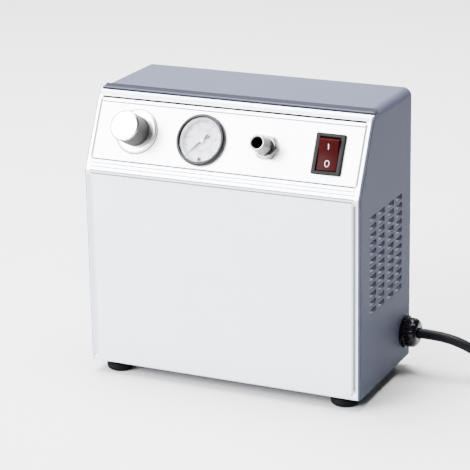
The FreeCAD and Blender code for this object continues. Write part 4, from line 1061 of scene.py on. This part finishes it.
def makeDial():
    top = gaugeShape["dialTop"]
    outline = [(1.6, top - 0.6), (1.6, top), (6, top), (12, top), (18.1, top), (18.1, top - 0.6),
               (1.6, top - 0.6)]
    dial = turnOutline("gaugeDial", outline, 96)
    spot = panelParts["gauge"]
    leanBack(dial, spot["x"] * mm, spot["t"] * mm)
    finishPiece(dial, "dialFace", "housing", "gauge_dial", 30)
    marks = []
    divisions, small = gaugeShape["divisions"], gaugeShape["smallSteps"]
    for k in range(divisions * small + 1):
        angle = gaugeShape["zeroAngle"] - gaugeShape["sweep"] * k / (divisions * small)
        big = k % small == 0
        marks.append(scaleMark(angle, 13.4 if big else 14.6, 16.2, 0.8 if big else 0.36, top))
    for k in range(divisions + 1):
        angle = gaugeShape["zeroAngle"] - gaugeShape["sweep"] * k / divisions
        marks.append(scaleMark(angle, 6.9, 8.6, 0.4, top))
    marks.append(scaleArc("outerArc", 16.1, 0.22, top, gaugeShape["zeroAngle"], gaugeShape["sweep"]))
    marks.append(scaleArc("innerArc", 8.5, 0.25, top, gaugeShape["zeroAngle"], gaugeShape["sweep"]))
    for k in range(0, divisions + 1, 2):
        angle = gaugeShape["zeroAngle"] - gaugeShape["sweep"] * k / divisions
        marks.append(dialNumber(str(k), angle, gaugeShape["numberReach"], gaugeShape["numberSize"],
                                top + 0.03))
    marks.append(dialNumber("bar", 270, 7.6, 2.6, top + 0.03))
    printed = joined("dialMarks", marks)
    leanBack(printed, spot["x"] * mm, spot["t"] * mm)
    finishPiece(printed, "dialInk", "housing", None, 30)
    stop = slab("zeroStop", (-0.0009, -0.0165, top * mm), (0.0009, -0.0138, 0.0006))
    soften(stop, 0.0003, 2)
    leanBack(stop, spot["x"] * mm, spot["t"] * mm)
    finishPiece(stop, "blackSatin", "housing", None, 30)


def makeNeedle():
    # tapered pointer with a round counterweight and a domed hub
    outline = [(-7.2, 0), (-6.9, 1.2), (-6.0, 1.9), (-4.8, 1.7), (-3.6, 0.8), (-1.5, 0.75), (1.5, 0.8),
               (9.0, 0.6), (13.4, 0.25), (13.4, -0.25), (9.0, -0.6), (1.5, -0.8), (-1.5, -0.75),
               (-3.6, -0.8), (-4.8, -1.7), (-6.0, -1.9), (-6.9, -1.2)]
    arm = pushOutline("gaugeNeedle", [(x * mm, y * mm, -0.0009) for x, y in outline], (0, 0, 0.0004))
    soften(arm, 0.00008, 1, 50)
    hub = turnLine("hub", [(r * mm, h * mm) for r, h in
                           [(0, 0.6), (0.8, 0.55), (1.5, 0.3), (1.95, -0.2), (2.1, -0.6), (2.1, -1.2),
                            (0.6, -1.25), (0.6, -2.1), (0, -2.1)]], 32)
    needle = joined("gaugeNeedle", [arm])
    for piece, finish, slotName, replaced in ((needle, "dialInk", "needle_black", "gauge_needle"),
                                              (hub, "satinChrome", "needle_black", None)):
        if piece is hub:
            piece.name = "needleHub"
        piece.rotation_euler = (0, 0, math.radians(gaugeShape["zeroAngle"]))
        settle(piece)
        toPanel(piece, "gauge")
        finishPiece(piece, finish, "needle", replaced, 35)


makeGaugeBezel()
makeDial()
makeNeedle()


outletShape = {"thread": 6.58, "bore": 4.8, "tip": 22.0, "nutFlats": 18.0, "nutHeight": 5.6}


def makeOutlet():
    thread, bore, tip = outletShape["thread"], outletShape["bore"], outletShape["tip"]
    outline = [(bore, tip - 0.5), (bore + 0.4, tip), (thread - 0.7, tip), (thread - 0.15, tip - 0.5)]
    height = tip - 1.2
    while height > 9.6:
        outline += [(thread, height), (thread - 0.05, height - 0.35), (thread - 0.38, height - 0.65),
                    (thread - 0.05, height - 1.0)]
        height -= 1.337
    outline += [(thread, 8.6), (thread, 8.2), (5.7, 7.8), (5.7, 6.0), (thread, 5.9), (thread, -4.0),
                (5.0, -4.0), (5.0, -8.0), (3.0, -8.1), (3.0, -24.0), (1.8, -24.0), (1.8, 1.6), (bore, 2.5),
                (bore, tip - 0.5)]
    tube = turnOutline("airOutlet", outline, 64)
    spot = panelParts["outlet"]
    leanBack(tube, spot["x"] * mm, spot["t"] * mm)
    finishPiece(tube, "fittingSteel", "housing", "outlet_fitting", 30)
    # painted shade: a lining down the bore in a darker copy of the fitting steel
    outline = [(bore - 0.05, tip - 0.9), (bore - 0.05, 2.7), (1.9, 1.8), (1.9, 2.2), (bore - 0.4, 3.0),
               (bore - 0.4, tip - 1.2), (bore - 0.05, tip - 0.9)]
    lining = turnOutline("outletBoreShade", outline, 64)
    leanBack(lining, spot["x"] * mm, spot["t"] * mm)
    finishPiece(lining, "boreShadeSteel", "housing", None, 30)

    height = outletShape["nutHeight"]
    radius = outletShape["nutFlats"] / math.sqrt(3)
    clearSelection()
    bpy.ops.mesh.primitive_cylinder_add(vertices=6, radius=radius * mm, depth=height * mm,
                                        location=(0, 0, height / 2 * mm),
                                        rotation=(0, 0, math.radians(30)))
    nut = settle(bpy.context.object)
    nut.name = "outletNut"
    dome = turnLine("nutDome", [(r * mm, h * mm) for r, h in
                                [(0, -0.2), (radius - 0.4, -0.2), (radius + 0.3, 0.4),
                                 (radius + 0.3, height - 1.7),
                                 (radius - 0.5, height - 0.9), (radius - 1.7, height - 0.3), (8.9, height),
                                 (7.4, height), (6.9, height - 0.5), (0, height - 0.5)]], 64)
    useModifier(nut, "BOOLEAN", operation="INTERSECT", solver="EXACT", object=dome)
    bpy.data.objects.remove(dome)
    carve(nut, rod("nutBore", (outletShape["thread"] + 0.1) * mm, (0, 0, -0.001), (0, 0, 0.008), 64))
    soften(nut, 0.00025, 2, 35)
    leanBack(nut, spot["x"] * mm, spot["t"] * mm)
    finishPiece(nut, "fittingSteel", "housing", "outlet_nut", 30)


makeOutlet()


switchShape = {"halfWidth": 12.5, "halfHeight": 16.5, "lip": 2.2, "wellX": 8.8, "wellT": 13.75,
               "pivot": -3.0, "tip": 10.5}


def makeSwitchHousing():
    shape = switchShape
    half, tall, lip = shape["halfWidth"] * mm, shape["halfHeight"] * mm, shape["lip"] * mm
    frame = slab("switchFrame", (-half, -tall, 0), (half, tall, lip))
    pick(frame, "EDGE", lambda a, b: abs(a.z - b.z) > 0.001)
    bpy.ops.mesh.bevel(offset=0.0014, segments=5, affect="EDGES")
    pick(frame, "EDGE", lambda a, b: a.z > lip * 0.9 and b.z > lip * 0.9)
    bpy.ops.mesh.bevel(offset=0.0008, segments=4, affect="EDGES")
    bpy.ops.object.mode_set(mode="OBJECT")
    wellX, wellT = shape["wellX"] * mm, shape["wellT"] * mm
    carve(frame, slab("frameWell", (-wellX, -wellT, -0.002), (wellX, wellT, 0.004)))
    soften(frame, 0.00025, 2, 60)
    body = slab("switchBody", (-0.0107, -0.0138, -0.020), (0.0107, 0.0138, 0.0001))
    carve(body, slab("bodyWell", (-wellX, -0.0135, -0.012), (wellX, 0.0135, 0.004)))
    housing = joined("switchHousing", [frame, body])
    spot = panelParts["switch"]
    leanBack(housing, spot["x"] * mm, spot["t"] * mm)
    finishPiece(housing, "blackSatin", "housing", "switch_housing", 30)


def tipRocker(piece):
    # from flat to its rest position, with the lower half pressed in
    pivot = Vector((0, 0, switchShape["pivot"] * mm))
    turn = Matrix.Rotation(math.radians(switchShape["tip"]), 4, "X")
    piece.matrix_world = Matrix.Translation(pivot) @ turn @ Matrix.Translation(-pivot)
    settle(piece)
    spot = panelParts["switch"]
    return leanBack(piece, spot["x"] * mm, spot["t"] * mm)


def makeRocker():
    outline = [(0, 1.9), (3.0, 2.15), (6.5, 2.55), (9.5, 3.1), (11.6, 3.6), (12.0, 3.65)]
    for angle in (27, 20, 12, 4, -5, -14):
        turn = math.radians(angle)
        outline.append((13.2 * math.cos(turn), -3.0 + 13.2 * math.sin(turn)))
    mirrored = [(-t, off) for t, off in reversed(outline[1:])]
    points = [(-0.0082, t * mm, off * mm) for t, off in outline + mirrored]
    rocker = pushOutline("switchRocker", points, (0.0164, 0, 0))
    soften(rocker, 0.0004, 3, 50)
    tipRocker(rocker)
    finishPiece(rocker, "rockerRed", "rocker", "switch_rocker", 40)

    bar = slab("onMark", (-0.00022, -0.0022, -0.0001), (0.00022, 0.0022, 0.0001))
    bar.matrix_world = Matrix.Translation((0, 0.0066, 0.00262)) @ Matrix.Rotation(math.radians(8.5), 4, "X")
    settle(bar)
    clearSelection()
    bpy.ops.mesh.primitive_torus_add(major_radius=0.0022, minor_radius=0.0002, major_segments=40,
                                     minor_segments=8)
    ring = bpy.context.object
    ring.matrix_world = (Matrix.Translation((0, -0.0066, 0.00262))
                         @ Matrix.Rotation(math.radians(-8.5), 4, "X") @ Matrix.Diagonal((0.8, 1.1, 0.5, 1)))
    settle(ring)
    marks = joined("rockerMarks", [bar, ring])
    tipRocker(marks)
    finishPiece(marks, "markWhite", "rocker", None, 40)


makeSwitchHousing()
makeRocker()


glandShape = {"y": 101.0, "z": 34.0, "flats": 24.0, "base": 4.0, "length": 9.6}


def toGland(piece, start):
    # from an upright axis to the case's right side
    piece.rotation_euler = (0, math.radians(90), 0)
    piece.location = (start * mm, glandShape["y"] * mm + frontY, glandShape["z"] * mm)
    return settle(piece)


def makeGland():
    base = glandShape["base"]
    radius = glandShape["flats"] / math.sqrt(3)
    clearSelection()
    bpy.ops.mesh.primitive_cylinder_add(vertices=6, radius=radius * mm, depth=(base - 1) * mm,
                                        location=(0, 0, (base + 1) / 2 * mm))
    hexagon = settle(bpy.context.object)
    soften(hexagon, 0.0006, 3, 40)
    washer = turnLine("glandWasher", [(r * mm, h * mm) for r, h in
                                      [(5.0, 0), (12.6, 0), (12.9, 0.3), (12.9, 1.0), (12.5, 1.2), (5.0, 1.2),
                                       (5.0, 0)]], 64)
    barrel = turnLine("glandBarrel", [(r * mm, h * mm) for r, h in
                                      [(5.0, -11), (9.5, -11), (9.5, 6.0), (5.0, 6.0), (5.0, -11)]], 64)
    carve(hexagon, rod("hexBore", 0.0094, (0, 0, -0.002), (0, 0, 0.006)))
    body = joined("glandBody", [hexagon, washer, barrel])
    toGland(body, 120.0)
    finishPiece(body, "blackGloss", "housing", "gland_body", 30)

    outline = [(4.3, 2.4), (9.6, 2.4), (9.6, 0.05), (11.9, 0.05), (12.2, 0.3), (12.3, 0.9), (12.3, 4.6),
               (12.15, 5.6), (11.7, 6.6), (11.0, 7.6), (9.9, 8.6), (8.6, 9.3), (7.2, 9.6), (5.4, 9.6),
               (4.6, 9.2), (4.3, 8.4), (4.3, 2.4)]
    nut = turnOutline("glandNut", outline, 96)

    def flute(spot):
        step = round(math.atan2(spot.y, spot.x) / math.tau * 96)
        return math.hypot(spot.x, spot.y) > 0.0117 and 0.0002 < spot.z < 0.0070 and step % 8 in (0, 1)

    pick(nut, "VERT", flute)
    bpy.ops.transform.resize(value=(0.94, 0.94, 1), center_override=(0, 0, 0))
    bpy.ops.object.mode_set(mode="OBJECT")
    toGland(nut, 124.0)
    return finishPiece(nut, "blackGloss", "housing", "gland_nut", 35)


glandNut = makeGland()


footPlaces = {"foot_front_left": (-101.5, 15.5), "foot_front_right": (101.5, 15.5),
              "foot_rear_left": (-101.5, 99.5), "foot_rear_right": (101.5, 99.5)}


def makeFeet():
    outline = [(2.1, 4.5), (5.0, 4.5), (5.0, 0.4), (5.4, 0), (8.9, 0), (9.8, 0.25), (10.6, 0.9),
               (11.2, 1.9), (11.5, 3.2), (11.45, 4.6), (11.0, 5.9), (10.2, 6.7), (9.2, 7.1), (8.6, 7.3),
               (8.4, 7.7), (8.4, 9.6), (2.1, 9.6), (2.1, 4.5)]
    model = turnOutline("rubberFoot", outline, 64)
    for name, (x, y) in footPlaces.items():
        foot = copyOf(model, Matrix.Translation((x * mm, y * mm + frontY, 0)))
        foot.name = "rubberFoot." + name.replace("foot_", "")
        finishPiece(foot, "rubber", "housing", name, 35)
    bpy.data.objects.remove(model)


makeFeet()


shellShape = {
    "halfWidth": 120.0, "topRound": 7.0, "wall": 1.2, "back": 113.8, "frontDepth": 3.4,
    "columns": (22.5, 41.0, 61.5, 80.0), "louvreLong": 14.5,
    "rows": 12, "topRow": 151.0, "pitch": 7.0, "louvreHigh": 4.8, "scoop": 2.4,
}


def archOutline(inset):
    # the shell's arch in width and height, going from one foot to the other
    half, top = shellShape["halfWidth"] - inset, caseShape["top"] / mm - inset
    curve = shellShape["topRound"] - inset
    spots = [(half, caseShape["bottom"] / mm - 2 * (inset > 0))]
    for side in (1, -1):
        for k in range(9):
            turn = math.radians(90 * k / 8 if side > 0 else 90 - 90 * k / 8)
            spots.append((side * (half - curve + curve * math.cos(turn)),
                          top - curve + curve * math.sin(turn)))
    spots.append((-half, spots[0][1]))
    return spots


def makeScoop():
    # one pressed louvre: a ramp that leads in and up, and its two end walls
    long, high, deep = shellShape["louvreLong"], shellShape["louvreHigh"], shellShape["scoop"]
    ramp = [(0, -0.05), (-deep, high), (-deep - 0.9, high), (-1.15, -0.05)]
    parts = [pushOutline("ramp", [(x * mm, 0, z * mm) for x, z in ramp], (0, long * mm, 0))]
    for y in (0.0, long - 0.7):
        end = [(-0.02, 0), (-0.02, high), (-deep, high)]
        parts.append(pushOutline("scoopEnd", [(x * mm, y * mm, z * mm) for x, z in end], (0, 0.7 * mm, 0)))
    return joined("scoop", parts)


def makeCaseShell():
    shape = shellShape
    start = frontY + 0.001
    length = shape["back"] * mm - 0.001
    shell = pushOutline("caseShell", [(x * mm, start, z * mm) for x, z in archOutline(0)], (0, length, 0))
    core = pushOutline("shellCore", [(x * mm, start - 0.01, z * mm) for x, z in archOutline(shape["wall"])],
                       (0, length + 0.02, 0))
    deep = shape["frontDepth"]
    front = [(-6, 0), (deep, 0)] + [kneeSpot(angle, deep) for angle in (0, 13, caseShape["lean"])]
    front += [browSpot(browTurn - k * browTurn / 8, deep) for k in range(8)]
    front += [(browY / mm + 1.1, caseShape["top"] / mm - deep), (browY / mm + 1.1, caseShape["top"] / mm + 4),
              (-6, caseShape["top"] / mm + 4)]
    cutters = [core, acrossCase("shellFront", front, 125)]
    slots, scoops, litTriangles = [], [], []
    scoop = makeScoop()
    long, high = shape["louvreLong"], shape["louvreHigh"]
    # painted highlight: a thin triangle under each louvre opening, in a lighter copy of the case paint,
    # stands in for light on the pressed ramps
    tab = pushOutline("tab", [(-0.35 * mm, 0, -0.05 * mm), (-0.35 * mm, long * 0.8 * mm, -0.05 * mm),
                              (-0.35 * mm, 0, high * 0.85 * mm)], (-0.5 * mm, 0, 0))
    for side in (1, -1):
        for y in shape["columns"]:
            for row in range(shape["rows"]):
                z = shape["topRow"] - shape["pitch"] * row
                x0, x1 = sorted((side * 117.5, side * 121.0))
                slots.append(slab("slot", (x0 * mm, frontY + y * mm, z * mm),
                                  (x1 * mm, frontY + (y + shape["louvreLong"]) * mm,
                                   (z + shape["louvreHigh"]) * mm)))
                place = Matrix.Translation((side * (shape["halfWidth"] - 0.02) * mm, frontY + y * mm, z * mm))
                turn = Matrix.Identity(4) if side > 0 else Matrix.Diagonal((-1, 1, 1, 1))
                scoops.append(copyOf(scoop, place @ turn))
                litTriangles.append(copyOf(tab, place @ turn))
    bpy.data.objects.remove(scoop)
    bpy.data.objects.remove(tab)
    cutters.append(joined("louvreSlots", slots))
    carve(shell, *cutters)
    soften(shell, 0.00025, 2, 50)
    finishPiece(shell, "casePaint", "housing", "case_shell", 30, True)
    pressed = joined("louvreScoops", scoops)
    finishPiece(pressed, "casePaint", "housing", None, 20)
    finishPiece(joined("louvreLitTriangles", litTriangles), "louvreHighlightPaint", "housing", None, 20)


plugShape = {
    "x": 304.9, "low": (-12.5, 23.0, 17.0), "high": (12.5, 55.0, 43.0), "round": 4.0,
    "reliefY": (54.0, 85.0), "reliefZ": 29.0, "reliefRadius": (9.0, 5.45), "ribs": 6,
}


def makePlug():
    # moulded plug with a waist for the fingers and a ribbed relief that tapers to the lead
    shape = plugShape
    x, low, high = shape["x"], shape["low"], shape["high"]
    body = slab("plugBody", ((x + low[0]) * mm, frontY + low[1] * mm, low[2] * mm),
                ((x + high[0]) * mm, frontY + high[1] * mm, high[2] * mm))
    soften(body, shape["round"] * mm, 6, 40)
    grips = []
    for side in (-1, 1):
        for k in range(3):
            y = frontY + (31 + 6 * k) * mm
            across = (x + side * 13.1) * mm
            grips.append(rod("grip", 0.0011, (across, y, 0.010), (across, y, 0.050), 16))
    carve(body, *grips)
    start, end = shape["reliefY"]
    wide, slim = shape["reliefRadius"]
    outline = [(0, 0)]
    ribs = shape["ribs"]
    for k in range(ribs):
        for share, dip in ((0.05, 0.0), (0.55, 0.0), (0.65, 0.75), (0.95, 0.75)):
            along = (k + share) / ribs
            outline.append((wide + (slim - wide) * along - dip, (end - start) * along))
    outline += [(slim - 0.3, end - start), (4.3, end - start), (0, end - start)]
    relief = turnOutline("plugRelief", outline, 48)
    relief.rotation_euler = (math.radians(-90), 0, 0)
    relief.location = (x * mm, frontY + start * mm, shape["reliefZ"] * mm)
    settle(relief)
    plug = joined("powerPlug", [body, relief])
    return finishPiece(plug, "plugSkin", "housing", "power_plug", 32)


makeCaseShell()
powerPlug = makePlug()
print("shell and plug made")


cord = layCord()
print("mains lead laid")


def layFloor():
    clearSelection()
    bpy.ops.mesh.primitive_plane_add(size=30, location=(0, 0, -0.0003))
    floor = bpy.context.object
    floor.name = "paleFloor"
    floor.data.materials.append(finishes["floor"])


layFloor()
